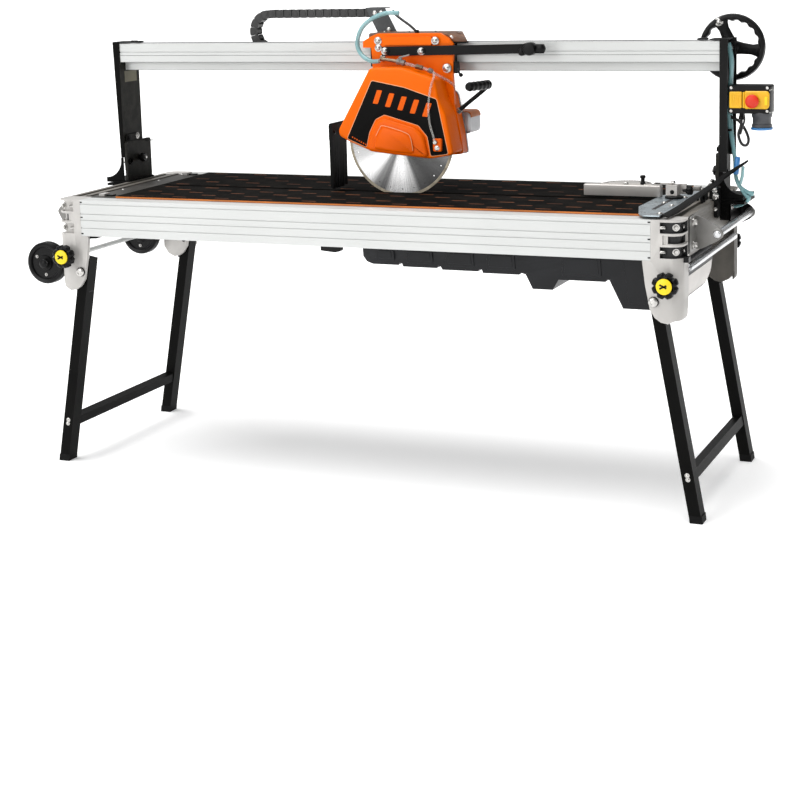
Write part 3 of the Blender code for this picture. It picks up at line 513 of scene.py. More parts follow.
M = {
    "rail": surface("anodised_profile", (0.55, 0.56, 0.55), 0.42, 0.2, grain=420,
                    stretch=(0.03, 1, 1), bump=0.03, tint=0.02, patch=3),
    "rail_y": surface("anodised_cross_profile", (0.13, 0.12, 0.105), 0.45, 0.1, grain=420,
                      stretch=(1, 0.03, 1), patch=4, dirt=0.3),
    "tube": surface("polished_tube", (0.60, 0.61, 0.62), 0.26, 0.9, grain=420,
                    stretch=(1, 0.03, 1), bump=0.04, tint=0.04),
    "cast": surface("grey_casting", (0.47, 0.455, 0.435), 0.46, 0.2, grain=1400, bump=0.10,
                    tint=0.05, patch=14, edge_wear_and_highlight=0.25, edge_wear_and_highlight_colour=(0.75, 0.74, 0.72)),
    # Near-black: painted shade inside the casting pockets; also the black of the fence's scale marks, groove
    # and protractor ticks.
    "cast_dark": surface("casting_pocket", (0.035, 0.035, 0.036), 0.6, 0.1, grain=700, bump=0.1,
                         shine=0.2),
    "plate": surface("bracket_steel", (0.20, 0.195, 0.185), 0.42, 0.5, bump=0.06,
                     tint=0.08, patch=18, edge_wear_and_highlight=0.4, edge_wear_and_highlight_colour=(0.6, 0.6, 0.58)),
    "dark_plate": surface("dark_bracket", (0.060, 0.062, 0.064), 0.42, 0.3, bump=0.06,
                          tint=0.1, patch=18, edge_wear_and_highlight=0.3, edge_wear_and_highlight_colour=(0.3, 0.3, 0.3), shine=0.3),
    # A darker copy of the grey casting for the rear right casting: its darkness is painted shade.
    "cast_shade": surface("painted_shade_casting", (0.075, 0.068, 0.058), 0.5, 0.1, grain=1400,
                          bump=0.12, tint=0.14, patch=14, edge_wear_and_highlight=0.35,
                          edge_wear_and_highlight_colour=(0.45, 0.43, 0.4), shine=0.3),
    "black": surface("black_powder_coat", (0.0055, 0.0055, 0.0055), 0.5, grain=1500,
                     bump=0.16, tint=0.15, edge_wear_and_highlight=0.3, edge_wear_and_highlight_colour=(0.10, 0.10, 0.10), shine=0.12),
    # A darker, duller copy of the black coat for the legs, the brackets and the left post's flange: the
    # extra darkness is painted shade.
    "leg": surface("shade_darkened_black_coat", (0.0028, 0.0028, 0.0026), 0.45, grain=1500, bump=0.16,
                   tint=0.15, edge_wear_and_highlight=0.2, edge_wear_and_highlight_colour=(0.08, 0.08, 0.08), shine=0.05),
    # A lighter black for the posts' and brackets' webs: the extra lightness is painted light on the lit
    # side.
    "post_face": surface("lit_side_black_coat", (0.020, 0.0195, 0.0165), 0.55, grain=260,
                         bump=0.1, tint=0.25, patch=30, shine=0.1),
    # Pale orange for the panel's outline and for the painted highlight on the nose's ridge.
    "cream": surface("pale_outline_and_highlight", (0.80, 0.38, 0.20), 0.5, grain=600, bump=0.02, tint=0.05,
                     shine=0.1),
    "cover_top": surface("dark_reflecting_cover", (0.15, 0.065, 0.030), 0.4, 0.1, grain=700,
                         bump=0.04, tint=0.25, patch=22, edge_wear_and_highlight=0.6,
                         edge_wear_and_highlight_colour=(0.75, 0.15, 0.01), shine=0.4),
    "plastic": surface("black_moulding", (0.004, 0.004, 0.0042), 0.32, grain=2200,
                       bump=0.10, tint=0.2, shine=0.15),
    "tank": surface("tank_moulding", (0.007, 0.0075, 0.009), 0.40, grain=1300, bump=0.14,
                    tint=0.2, patch=5, dirt=0.06, shine=0.22),
    "chain": surface("chain_nylon", (0.026, 0.026, 0.026), 0.45, grain=1800, bump=0.08,
                     tint=0.12, shine=0.4),
    "rubber": surface("ribbed_rubber", (0.0055, 0.0050, 0.0045), 0.8, grain=1100, bump=0.3,
                      tint=0.25, patch=16, dirt=0.10, dirt_colour=(0.03, 0.022, 0.016),
                      shine=0.02),
    "strip": surface("soft_rubber", (0.004, 0.004, 0.004), 0.6, bump=0.2,
                     tint=0.2, shine=0.1),
    "board": surface("table_panel", (0.040, 0.038, 0.034), 0.5, 0.1, grain=500,
                     stretch=(1, 0.05, 1), tint=0.1, dirt=0.3,
                     dirt_colour=(0.12, 0.11, 0.10), shine=0.2),
    "orange": surface("orange_gloss", (0.82, 0.130, 0.0005), 0.32, grain=700, bump=0.02,
                      tint=0.03, patch=6, shine=0.08),
    "orange_deep": surface("orange_moulding", (0.76, 0.108, 0.0005), 0.33,
                           bump=0.04, tint=0.03, shine=0.1),
    "orange_dull": surface("dusty_orange", (0.42, 0.125, 0.03), 0.5,
                           bump=0.06, tint=0.12, patch=20, shine=0.3),
    "orange_foam": surface("orange_underlay", (0.66, 0.20, 0.04), 0.7, grain=1600,
                           bump=0.3, tint=0.12, dirt=0.2),
    "inlay": surface("slot_inlay", (0.135, 0.050, 0.022), 0.7, grain=1200, bump=0.3,
                     tint=0.35, patch=11, shine=0.1),
    "panel": surface("satin_panel", (0.005, 0.0048, 0.0046), 0.45, grain=1600,
                     tint=0.1, shine=0.04),
    "bolt": surface("plated_bolt", (0.50, 0.49, 0.47), 0.26, 1.0, grain=1200,
                    tint=0.12, patch=90),
    "steel": surface("ground_steel", (0.50, 0.50, 0.50), 0.28, 1.0),
    "zinc": surface("zinc_sheet", (0.36, 0.415, 0.445), 0.33, 0.75, grain=60, bump=0.03,
                    tint=0.14, patch=26, rough_span=0.12),
    "fence": surface("fence_casting", (0.50, 0.475, 0.45), 0.38, 0.3, grain=800,
                     stretch=(0.1, 1, 1), tint=0.04, edge_wear_and_highlight=0.2,
                     edge_wear_and_highlight_colour=(0.8, 0.79, 0.77)),
    "silver": surface("motor_casing", (0.40, 0.40, 0.41), 0.34, 0.8, grain=1100, bump=0.08,
                      tint=0.05),
    "yellow": surface("yellow_cap", (0.80, 0.60, 0.012), 0.33, bump=0.03,
                      tint=0.04, shine=0.3),
    "amber": surface("amber_moulding", (0.74, 0.41, 0.015), 0.33, bump=0.03,
                     tint=0.05, shine=0.3),
    "red": surface("red_moulding", (0.62, 0.032, 0.012), 0.3, bump=0.03,
                   tint=0.04, shine=0.3),
    "blue": surface("blue_moulding", (0.04, 0.20, 0.48), 0.35, bump=0.03,
                    tint=0.05, coat=0.2),
    "socket": surface("grey_moulding", (0.045, 0.047, 0.053), 0.42, grain=1500, bump=0.08,
                      tint=0.1),
    "brass": surface("brass_fitting", (0.17, 0.13, 0.09), 0.3, 0.8,
                     tint=0.15, patch=60),
    "rim": surface("diamond_rim", (0.42, 0.37, 0.28), 0.55, 0.4, grain=2600, bump=0.5,
                   tint=0.2, patch=60),
    "sticker": surface("plain_sticker", (0.10, 0.09, 0.045), 0.5, grain=300, bump=0.03, tint=0.2),
    "disc": painted_sheen_steel("blade_core"),
    "hose": clear_hose("teal_hose", (0.20, 0.40, 0.42), 0.22),
    "clear": clear_hose("clear_hose", (0.50, 0.50, 0.47), 0.72),
    "cable": surface("cable_sheath", (0.008, 0.008, 0.008), 0.45, grain=600,
                     tint=0.1),
}


# ---------------------------------------------------------------- CAD nodes that stay

def dress_frame():
    """Finishes for the CAD nodes whose own mesh is shown."""
    for end, _ in DEPTHS:
        dress(f"rail_{end}", "rail", 0.5)
    for end, _ in SIDES:
        dress(f"end_rail_{end}", "rail_y", 0.6)
        dress(f"cross_tube_{end}", "tube")
        dress(f"leg_frame_{end}", "leg", 1.5)
        dress(f"bevel_knob_{end}", "plastic", 1.0)
    dress("post_right", "black", 0.8)
    dress("table_board", "board", 0.5)
    dress("water_pump", "plastic", 2)
    dress("wheel_axle", "rail")
    dress("fence_plate", "zinc", 0.8)
    dress("beam", "rail", 0.5)
    dress("drive_shaft", "steel", 0.5)
    dress("head_arm", "orange", 1.5)
    dress("plunge_lever", "black", 1.0)
    dress("drive_belt", "rubber")
    dress("arbor", "steel", 0.5)
    dress("motor_spindle", "steel", 0.5)
    dress("fence_base", "fence", 1.0)


# ---------------------------------------------------------------- table

def table_mat():
    """A black mat whose staggered slots show the dull orange layer under it."""
    low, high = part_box("rubber_mat")
    x0, x1 = low.x / MM + MIDDLE_X, high.x / MM + MIDDLE_X
    y0, y1 = low.y / MM + MIDDLE_Y, high.y / MM + MIDDLE_Y
    top = high.z / MM
    slot = (330, 350)
    under = bmesh.new()
    for near, far in ((y0 - 1.2, slot[0] - 3), (slot[1] + 3, y1 + 1.2)):
        block(under, x0 - 1.2, x1 + 1.2, near, far, top - 6.4, top - 1.5)
    piece("mat_underlay", under, "orange_foam", "frame")
    inlays = bmesh.new()
    rows, columns, pitch = 5, 12, 150
    for number, (near, far) in enumerate(((y0, slot[0]), (slot[1], y1))):
        shape = bmesh.new()
        block(shape, x0, x1, near, far, top - 1.4, top)
        sheet = piece(f"mat_sheet_{number}", shape, "rubber", "frame",
                      replaces=("rubber_mat",) if number == 0 else ())
        cutter = bmesh.new()
        for row in range(rows):
            y = near + 26 + row * (far - near - 52) / (rows - 1)
            for column in range(columns):
                x = x0 + 40 + column * pitch + (pitch / 2 if row % 2 else 0)
                if x + 54 > x1:
                    continue
                outline = rect(x, x + 50, y - 5, y + 5)
                prism(cutter, "Z", fillet(outline, 4.8, 3), top - 3, top + 2)
                prism(inlays, "Z", fillet(outline, 4.8, 3), top - 1.5, top - 0.25)
        carved(sheet, cutter)
    piece("mat_inlays", inlays, "inlay", "frame")
    ends = bmesh.new()
    for low_x, high_x in ((x0, -812), (868, x1)):
        block(ends, low_x, high_x, slot[0] - 2, slot[1] + 2, top - 6.4, top - 0.2)
    for near in (slot[0] - 2.5, slot[1]):
        block(ends, x0, x1, near, near + 2.5, top - 6.4, top - 1.5)
    piece("mat_ends", ends, "rubber", "frame")


def table_trim():
    """The ledges between the mat and the end rails, with the bright corner blocks."""
    shape = bmesh.new()
    for side in (-1, 1):
        for y in (110, 250, 480, 640):
            bolt(shape, (side * 918, y, 869.0), UP, 4, 3, 1, "dome")
        for y in (92, 628):
            block(shape, side * 892, side * 912, y, y + 34, 869.1, 877)
            block(shape, side * 864, side * 888, y + 6, y + 26, 869.1, 874, 2)
        block(shape, side * 938, side * 953, 84, 651, 869.2, 872.5, 3)
    piece("table_trim", shape, "cast bolt plastic rail_y", "frame", bevel=0.8)


def rail_details():
    """Dark dots where the rails meet the castings and two small blocks under the front rail."""
    shape = bmesh.new()
    for near in (-0.7, DEPTH - 2):
        for side in (-1, 1):
            for z in (762, 814, 862):
                block(shape, side * 918, side * 925.5, near, near + 2.7, z - 2, z + 2)
    outline = fillet([(-96, 753.6), (-31, 753.6), (-31, 738), (-50, 734), (-96, 738)], 4)
    prism(shape, "Y", outline, 18, 40)
    prism(shape, "Y", fillet([(-912, 753.6), (-868, 753.6), (-874, 746), (-912, 744)], 3), 10, 34)
    piece("rail_fittings", shape, "plastic", "frame", bevel=0.5)


CORNER = (981, 34)      # centre of a right casting's rounded corner, as (x, y)


def wrapped_plan(side, rear, depth, start, end):
    """The plan of a pocket that runs from the front face round the rounded corner."""
    outer = [(start, -6.0), *arc(CORNER, 40, -90, 0, 9), (1021.0, end)]
    inner = [(1015 - depth, end), *arc(CORNER, 34 - depth, 0, -90, 9), (start, depth)]
    return [(side * u, from_front(v, rear)) for u, v in outer + inner]


def toe_plan(rear, lift):
    """The plan of the cheek that closes a right casting's lower outer corner."""
    corner = Vector(CORNER)
    points = []
    for point in [(960, 0.0), *arc(CORNER, 34, -90, 0, 9), (1015.0, 68.0)]:
        away = Vector(point) - corner
        points.append(tuple(corner + away * (1 - lift / max(away.length, 1.0))))
    points += [(1008.0, 68.0), *arc(CORNER, 27, 0, -90, 9), (960, 7.0)]
    return [(u, from_front(v, rear)) for u, v in points]


def cut_pocket(shell, plan, low, high, mat=0):
    """Cuts the plan out of a casting between two heights; mat finishes the cut faces."""
    cutter = bmesh.new()
    prism(cutter, "Z", plan, low, high, mat)
    carved(shell, cutter)


def castings():
    """Corner castings with two bolted pockets and a window wrapped round the outer edge."""
    for end, side in SIDES:
        for place, rear in DEPTHS:
            casting(end, side, place, rear)
    lug = bmesh.new()
    face = [(-1000, 866), (-1016, 858), (-1036, 842), (-1053, 822), (-1040, 796), (-1020, 774),
            (-1000, 764)]
    pillow(lug, "Y", fillet(face, 7, 4), [(2, 62), (0, 64), (0, 70), (2, 72)])
    for z in (831, 792):
        bolt(lug, (-1018, 62, z), BACK_Y, 5.5, 7, 1, "dome")
    piece("corner_lug", lug, "plate bolt", "frame")
    shape = bmesh.new()
    block(shape, 1012, 1028, 24, 48, 748, 764)
    block(shape, -952, -930, 30, 60, 566, 577)
    for side in (-1, 1):
        for y0 in (24, DEPTH - 60):
            block(shape, side * 948, side * 972, y0, y0 + 36, 570, 578)
    piece("casting_buffers", shape, "plastic", "frame", bevel=1.2)


def casting(end, side, place, rear):
    """One corner casting with its pockets, the cheek at its lower corner and its bolts."""
    # The rear right casting and its cheek take the darker copy, which paints in their shade.
    finish = "cast_shade" if rear and side > 0 else "cast"
    shell = piece(f"casting_shell_{place}_{end}", node_shape(f"casting_{place}_{end}"),
                  f"{finish} cast_dark", "frame", (f"casting_{place}_{end}",))
    # The two bolted pockets on the right-hand castings and the deep middle pocket on every casting take the
    # near-black finish as painted shade; the rest keep the casting's grey.
    pocket_shade_mat = 1 if side > 0 else 0
    for low, high in ((831.5, 862.5), (761.5, 793.5)):
        cut_pocket(shell, wrapped_plan(side, rear, 13, 952.5, 66), low, high, pocket_shade_mat)
    cut_pocket(shell, wrapped_plan(side, rear, 5, 960, 70), 799, 826)
    cut_pocket(shell, wrapped_plan(side, rear, 15, 974, 60), 802, 823, 1)
    if side < 0 and not rear:
        outer = [(-985, -6), (-1022, -6), (-1022, 60), (-1003, 60), (-1003, 30), (-985, 22)]
        cut_pocket(shell, outer, 759, 866)
        cut_pocket(shell, rect(-1002, -880, 14, 90), 560, 756.5)
    soften(shell, 1.2)
    if side > 0:
        toe = bmesh.new()
        steps = ((584, 7), (589, 1.5), (597, -0.3), (640, -0.3), (652, 1.2))
        loft(toe, [[at(u, v, z) for u, v in toe_plan(rear, lift)] for z, lift in steps])
        piece(f"casting_toe_{place}", toe, finish, "frame", bevel=1.0)
    details = bmesh.new()
    out = 1 if rear else -1
    for z in (847, 778):
        spin(details, (side * 953, from_front(5.5, rear), z), (side, 0, 0),
             [(5.4, -1), (5.4, 13), (4.4, 14.5), (0, 14.5)], 18)
        bolt(details, (side * 994, from_front(16.5, rear), z), (side * 0.45, out * 0.9, 0), 6.5, 8,
             0, "hex")
        spin(details, (side * 1002, from_front(46, rear), z), (side, 0, 0),
             [(6, -2), (6, 7), (4, 9), (0, 9)], 6)
    lip = wrapped_plan(side, rear, 4.5, 955, 66)
    for z in (797, 828):
        path = [at(*point, z) for point in reversed(lip[len(lip) // 2:])]
        tube(details, path, 3.6, 10, 1)
    piece(f"casting_bolts_{place}_{end}", details, "bolt cast", "frame")


def leg_details():
    """Pivot heads, crossbar bolts and rubber feet."""
    for name, side in SIDES:
        shape = bmesh.new()
        for y, out in ((-8.8, -1), (DEPTH + 8.8, 1)):
            spin(shape, (side * LEG_PIVOT[0], y, LEG_PIVOT[1]), (0, out, 0),
                 [(13.5, -4), (13.5, 1.2), (11, 3.0), (6.5, 3.4), (6.5, 1.8), (0, 1.8)], 28)
        foot_x, slant = 1053, 0.185
        for y, out in ((15, -1), (DEPTH - 15, 1)):
            for z in (128, 140):
                x = side * (foot_x - z * slant)
                bolt(shape, (x, y, z), (0, out, 0), 4.5, 4, 0, "dome")
        for near, far in ((14.2, 63.8), (DEPTH - 63.8, DEPTH - 14.2)):
            low = [(side * (foot_x + u), v) for u, v in ((-18.6, 0.0), (18.6, 0.0), (16.0, 22),
                                                         (-21.2, 22))]
            prism(shape, "Y", low, near, far, 1)
        piece(f"leg_fittings_{name}", shape, "bolt strip", f"leg_{name}", bevel=0.6)


def lobed(centre, radius, notch, lobes, count):
    """A round outline with a narrow notch between broad lobes."""
    angles = [2 * math.pi * i / count for i in range(count)]
    return [polar(centre, radius - notch * max(0.0, math.cos(lobes * a)) ** 2, a) for a in angles]


def leg_knobs():
    """Lobed clamping knobs with a yellow cap that carries a plain two-bar mark."""
    for end, side in SIDES:
        for place, rear in DEPTHS:
            def out(distance):
                return from_front(-distance, rear)
            centre = (side * KNOB_AXIS[0], KNOB_AXIS[1])
            shape = bmesh.new()
            steps = [(3.5, out(21.5)), (0, out(25)), (0, out(39)), (2, out(43)), (6, out(45.2)),
                     (12, out(45.8))]
            pillow(shape, "Y", lobed(centre, 37.4, 6.0, 8, 128), steps)
            spin_y(shape, centre, [(15, out(24)), (17, out(12)), (15, out(1.8)), (6, out(1.8)),
                                   (6, out(-36))], 28)
            spin_y(shape, centre, [(22.5, out(44)), (22.5, out(48)), (20, out(49.4)),
                                   (0, out(49.9))], 36, 1)
            for a in (-0.45, 0.45):
                bar = []
                for u, v in ((-13, -2.6), (9, -2.6), (9, 2.6), (-13, 2.6)):
                    bar.append((centre[0] + u * math.cos(a) - v * math.sin(a),
                                centre[1] + u * math.sin(a) + v * math.cos(a)))
                prism(shape, "Y", bar, out(49.0), out(50.2))
            piece(f"clamp_knob_{place}_{end}", shape, "plastic yellow", f"knob_{place}_{end}",
                  (f"leg_knob_{place}_{end}",))


def wheels():
    """Transport wheels with a grooved tread, three face bolts and a ring of rivets."""
    for name, low, high in (("front", 20, 62), ("rear", 606, 648)):
        shape = bmesh.new()
        spin_y(shape, WHEEL_AXIS, [(8.3, low + 6), (24, low + 4), (26, low + 9), (50, low + 9),
                                   (53, low + 3), (60, low + 1), (66, low + 4), (68, low + 9),
                                   (68, low + 17), (66.6, low + 18), (66.6, low + 24),
                                   (68, low + 25), (68, high - 9), (66, high - 4), (60, high - 1),
                                   (53, high - 3), (50, high - 9), (26, high - 9), (24, high - 4),
                                   (8.3, high - 6)], 56)
        for face, out in ((low + 4.5, -1), (high - 4.5, 1)):
            for k in range(3):
                x, z = polar(WHEEL_AXIS, 38, 2 * math.pi * k / 3 + 0.5)
                bolt(shape, (x, face - 4.5 * out, z), (0, out, 0), 3.4, 5, 1, "dome")
            for k in range(12):
                x, z = polar(WHEEL_AXIS, 56, 2 * math.pi * k / 12)
                spin(shape, (x, face - out, z), (0, out, 0), [(3.2, 0), (3.2, 1.6), (2, 2.4),
                                                              (0, 2.6)], 8)
        spin_y(shape, WHEEL_AXIS, [(0, low - 12.4), (6, low - 12), (14, low - 9), (15, low - 7.6),
                                   (13, low - 7.6)])
        piece(f"wheel_{name}", shape, "plastic bolt", f"wheel_{name}",
              (f"transport_wheel_{name}",))


def carry_handles():
    """Bolted flanges, rounded gussets and the lifting tube at each end."""
    for name, side in SIDES:
        tube_x, tube_z = side * LIFT_TUBE[0], LIFT_TUBE[1]
        shape = bmesh.new()
        # A black strip at the front flange's outer edge: a painted shadow line.
        block(shape, side * 1012, side * 1016.2, 70.5, 85, 765, 867, 2)
        # The rear gusset on the right side takes black as painted shade; the others keep the grey plate.
        for near, far, web, bolts_y, mat in ((84, 156, 150, 120, 0),
                                             (579, 651, 579, 625, 2 if side > 0 else 0)):
            face = rect(near, far, 766, 866)
            prism(shape, "X", fillet(face, 14), side * 1012.6, side * 1017.2)
            gusset = [(1014, 864), (1034, 858), (1084, 831), (1097, 812), (1084, 793), (1034, 768),
                      (1014, 766)]
            prism(shape, "Y", fillet([(side * u, v) for u, v in gusset], 9, 4), web, web + 6, mat)
            spin(shape, (tube_x, web + 3, tube_z), ALONG_Y, [(14, -5), (15.5, -3), (15.5, 3),
                                                             (14, 5)], 28)
            for z in (784, 848):
                bolt(shape, (side * 1016.8, bolts_y, z), (side, 0, 0), 8.5, 13, 1, "hex")
        piece(f"handle_brackets_{name}", shape, "plate bolt black", "frame", bevel=0.8)
        bar = bmesh.new()
        spin(bar, (tube_x, 146, tube_z), ALONG_Y, [(6, -2), (9.8, -2), (10.6, -0.5), (10.6, 443.5),
                                                   (9.8, 445), (6, 445)], 32)
        for y0 in (142.5, 593):
            spin(bar, (tube_x, y0, tube_z), ALONG_Y, [(0, -1.5), (6.4, -1.5), (8, 0), (6.4, 1.5),
                                                      (0, 1.5)], 20)
        piece(f"handle_tube_{name}", bar, "tube", "frame", (f"carry_handle_{name}",))


def sump_end(z):
    """How far the sump's end wall reaches at a height."""
    steps = [(597, 955), (615, 978), (650, 990), (690, 994)]
    for (low, start), (high, stop) in zip(steps, steps[1:]):
        if z <= high:
            return start + (stop - start) * max(0.0, z - low) / (high - low)
    return steps[-1][1]


def tank_shell():
    """The tank with a sump that stops short of the rear, its closing wall and end plate."""
    tank = piece("tank_shell", node_shape("water_tank"), "tank", "frame",
                 ("water_tank",))
    cutter = bmesh.new()
    corner = [(458, 744), (458, 640), (400, 590), (720, 590), (720, 744)]
    prism(cutter, "X", fillet(corner, 40, 6), 797, 1010)
    carved(tank, cutter)
    soften(tank, 2.5)
    closing = bmesh.new()
    wall = [(797, 744), (797, 676), (824, 650), (984, 650), (991, 690), (987, 740), (950, 744)]
    prism(closing, "Y", wall, 452, 457.5)
    floor = [(457.5, 655), (457.5, 647), (404, 594), (397, 598), (452, 653)]
    prism(closing, "X", floor, 826, 948)
    block(closing, 793, 798, 452, 652, 676, 744)
    piece("sump_wall", closing, "tank", "frame", bevel=1)
    end = bmesh.new()
    rings = []
    top = 686
    for y, low in ((84, 600), (380, 600), (402, 604), (424, 618), (440, 638), (446, 660)):
        heights = [low + (top - low) * k / 8 for k in range(9)]
        outer = [at(sump_end(z) + 1.4, y, z) for z in heights]
        inner = [at(sump_end(z) - 2.0, y, z) for z in reversed(heights)]
        rings.append(outer + inner)
    loft(end, rings)
    piece("sump_plate", end, "fence", "frame")


def tank_ribs():
    """Moulded panels on the tank's long walls, and the drain plug."""
    shape = bmesh.new()
    wall_y = 79.4
    for x0, x1, z in ((48, 130, 693), (146, 254, 689), (272, 384, 685), (400, 512, 681), (632, 772, 672)):
        for y, flip in ((wall_y, -1), (DEPTH - wall_y, 1)):
            outer = fillet([(x0 + 10, z + 12), (x1 - 10, z + 12), (x1 - 14, 744), (x0 + 14, 744)], 8)
            prism(shape, "Y", outer, y - 0.5 * flip, y + 2.2 * flip)
            inner = fillet([(x0 + 18, z + 20), (x1 - 18, z + 20), (x1 - 22, 736), (x0 + 22, 736)], 6)
            prism(shape, "Y", inner, y + 1.2 * flip, y + 3.4 * flip)
    outline = fillet([(840, 612), (940, 612), (964, 660), (964, 742), (826, 742)], 14)
    prism(shape, "Y", outline, wall_y + 0.5, wall_y - 2.4)
    spin(shape, (890, 367, 597.5), (0, 0, -1), [(24, -1), (24, 7), (20, 10), (0, 10)])
    piece("tank_ribs", shape, "tank", "frame", bevel=1.2)


# ---------------------------------------------------------------- bridge

def post_details():
    """Bolts and caps at the posts' heads, the beam's seams and a plain sticker."""
    for name, side in SIDES:
        shape = bmesh.new()
        for y, z in ((455, 1300), (490, 1258), (455, 1285)):
            bolt(shape, (side * 1022.5, y, z), (side, 0, 0), 5, 5, 0, "hex")
        block(shape, side * 988, side * 1042, 431, 500, 1339.4, 1341.4, 1)
        block(shape, side * 948, side * 975, 447, 478, 1338, 1343, 1)
        piece(f"post_fittings_{name}", shape, "bolt black", "bridge", bevel=0.5)
    lines = bmesh.new()
    block(lines, -1016, 1016, 434.4, 436, 1337.2, 1339.6)
    for z in (1295.4, 1273.2):
        block(lines, -1016, 1016, 434.7, 435.4, z, z + 1.1)
    block(lines, -1016, 1016, 466.6, 467.4, 1245, 1246.2)
    piece("beam_seams", lines, "dark_plate", "bridge")
    shape = bmesh.new()
    block(shape, -1018.4, -1017.9, 459, 536, 1205, 1242)
    piece("post_sticker", shape, "sticker", "bridge")


def tapered_post():
    """The left post, its flange drawn in towards the foot."""
    shape = node_shape("post_left")
    edge, drawn_in = at(-1036, 0, 0).x, at(-1031, 0, 0).x
    for vertex in shape.verts:
        if vertex.co.x < edge and vertex.co.z < 1000 * MM:
            vertex.co.x = drawn_in
    for face in shape.faces:
        face.normal_update()
        # Faces turned to +x take the lighter black, as painted light on that side.
        face.material_index = 1 if face.normal.x > 0.8 else 0
    piece("post_channel_left", shape, "leg post_face", "bridge", ("post_left",), bevel=0.8)


def post_brackets():
    """The posts' fixed feet: web, flared front plate, double foot plate, pointer and pin."""
    for name, side in SIDES:
        shape = bmesh.new()
        # The web and its tab take the lighter black, as painted light.
        web = [(432, 874), (590, 874), (590, 1000), (585, 1005), (437, 1005), (432, 1000)]
        prism(shape, "X", web, side * 1008, side * 1017.5, 2)
        tab = [(444, 1003), (527, 1003), (527, 1022), (521, 1028), (450, 1028), (444, 1022)]
        prism(shape, "X", tab, side * 1012.4, side * 1017.3, 2)
        bolt(shape, (side * 1012.4, 455, 1017), (-side, 0, 0), 7, 6, 0, "hex")
        bolt(shape, (side * 1012.4, 512, 1019), (-side, 0, 0), 7, 4, 1)
        flare = [(1023.4, 872), (1023.4, 951.6), (1031, 951.6), *arc((1091, 944), 60, 180, 270, 8),
                 (1091, 872)]
        prism(shape, "Y", [(side * u, v) for u, v in flare], 428, 433.6)
        block(shape, side * 1001, side * 1091, 428, 590, 868, 874.4)
        block(shape, side * 1012.4, side * 1070, 436, 580, 862, 871)
        block(shape, side * 1012.4, side * 1094, 434, 582, 855, 863)
        block(shape, side * 1046, side * 1052, 440, 576, 806, 866)
        block(shape, side * 981, side * 1008, 556, 566, 997, 999.4)
        spin(shape, (side * 1009, *TILT_AXIS), (-side, 0, 0), [(13, -1), (13, 4), (11, 5), (0, 5)], 6)
        spin(shape, (side * 1034, *TILT_AXIS), (side, 0, 0), [(8, -30), (8, 1), (6, 2), (0, 2)], 18, 1)
        for y in (452, 560):
            bolt(shape, (side * 1052, y, 846), (side, 0, 0), 6, 6, 1, "hex")
        block(shape, side * 1020, side * 1050, 440, 576, 806, 862)
        piece(f"bracket_{name}", shape, "leg bolt post_face", "frame",
              (f"post_bracket_{name}",), bevel=0.8)
        head = bmesh.new()
        spin(head, (side * 985, 510, 945), (-side, 0, 0), [(5.5, -1), (5.5, 4), (3.5, 6), (0, 6.4)], 14)
        piece(f"bevel_head_{name}", head, "bolt", f"bevel_{name}")


def hose_clamps():
    """The cluster of clamps, screws and spacers at the right post's foot."""
    cluster = bmesh.new()
    block(cluster, 1014, 1024, 392, 428, 820, 905, 1)
    block(cluster, 996, 1012, 404, 426, 872, 898, 1)
    for y, z, r in ((396, 900, 7), (400, 880, 8), (410, 858, 6), (396, 846, 7), (414, 832, 6)):
        spin(cluster, (1016, y - 4, z), (-0.3, -1, 0), [(r, -6), (r, 5), (r * 0.7, 8), (0, 8)], 8)
    for x, z, r in ((1002, 916, 7), (1012, 908, 8), (1018, 888, 7), (996, 902, 5), (1008, 930, 5)):
        spin(cluster, (x, 388, z), (-0.3, -1, 0.2), [(r, -8), (r, 4), (r * 0.6, 8), (0, 8)], 8)
    for x, z, tall in ((960, 868, 30), (972, 852, 26), (986, 884, 24), (1000, 846, 30), (978, 874, 20)):
        block(cluster, x - 7, x + 7, 392, 402, z - tall / 2, z + tall / 2, 1)
    hose(cluster, [(1006, 398, 905), (1018, 392, 892), (1010, 394, 872), (1022, 398, 850),
                   (1012, 404, 828)], 6, 3.2, 8, 1)
    piece("hose_clamps", cluster, "bolt black", "frame")


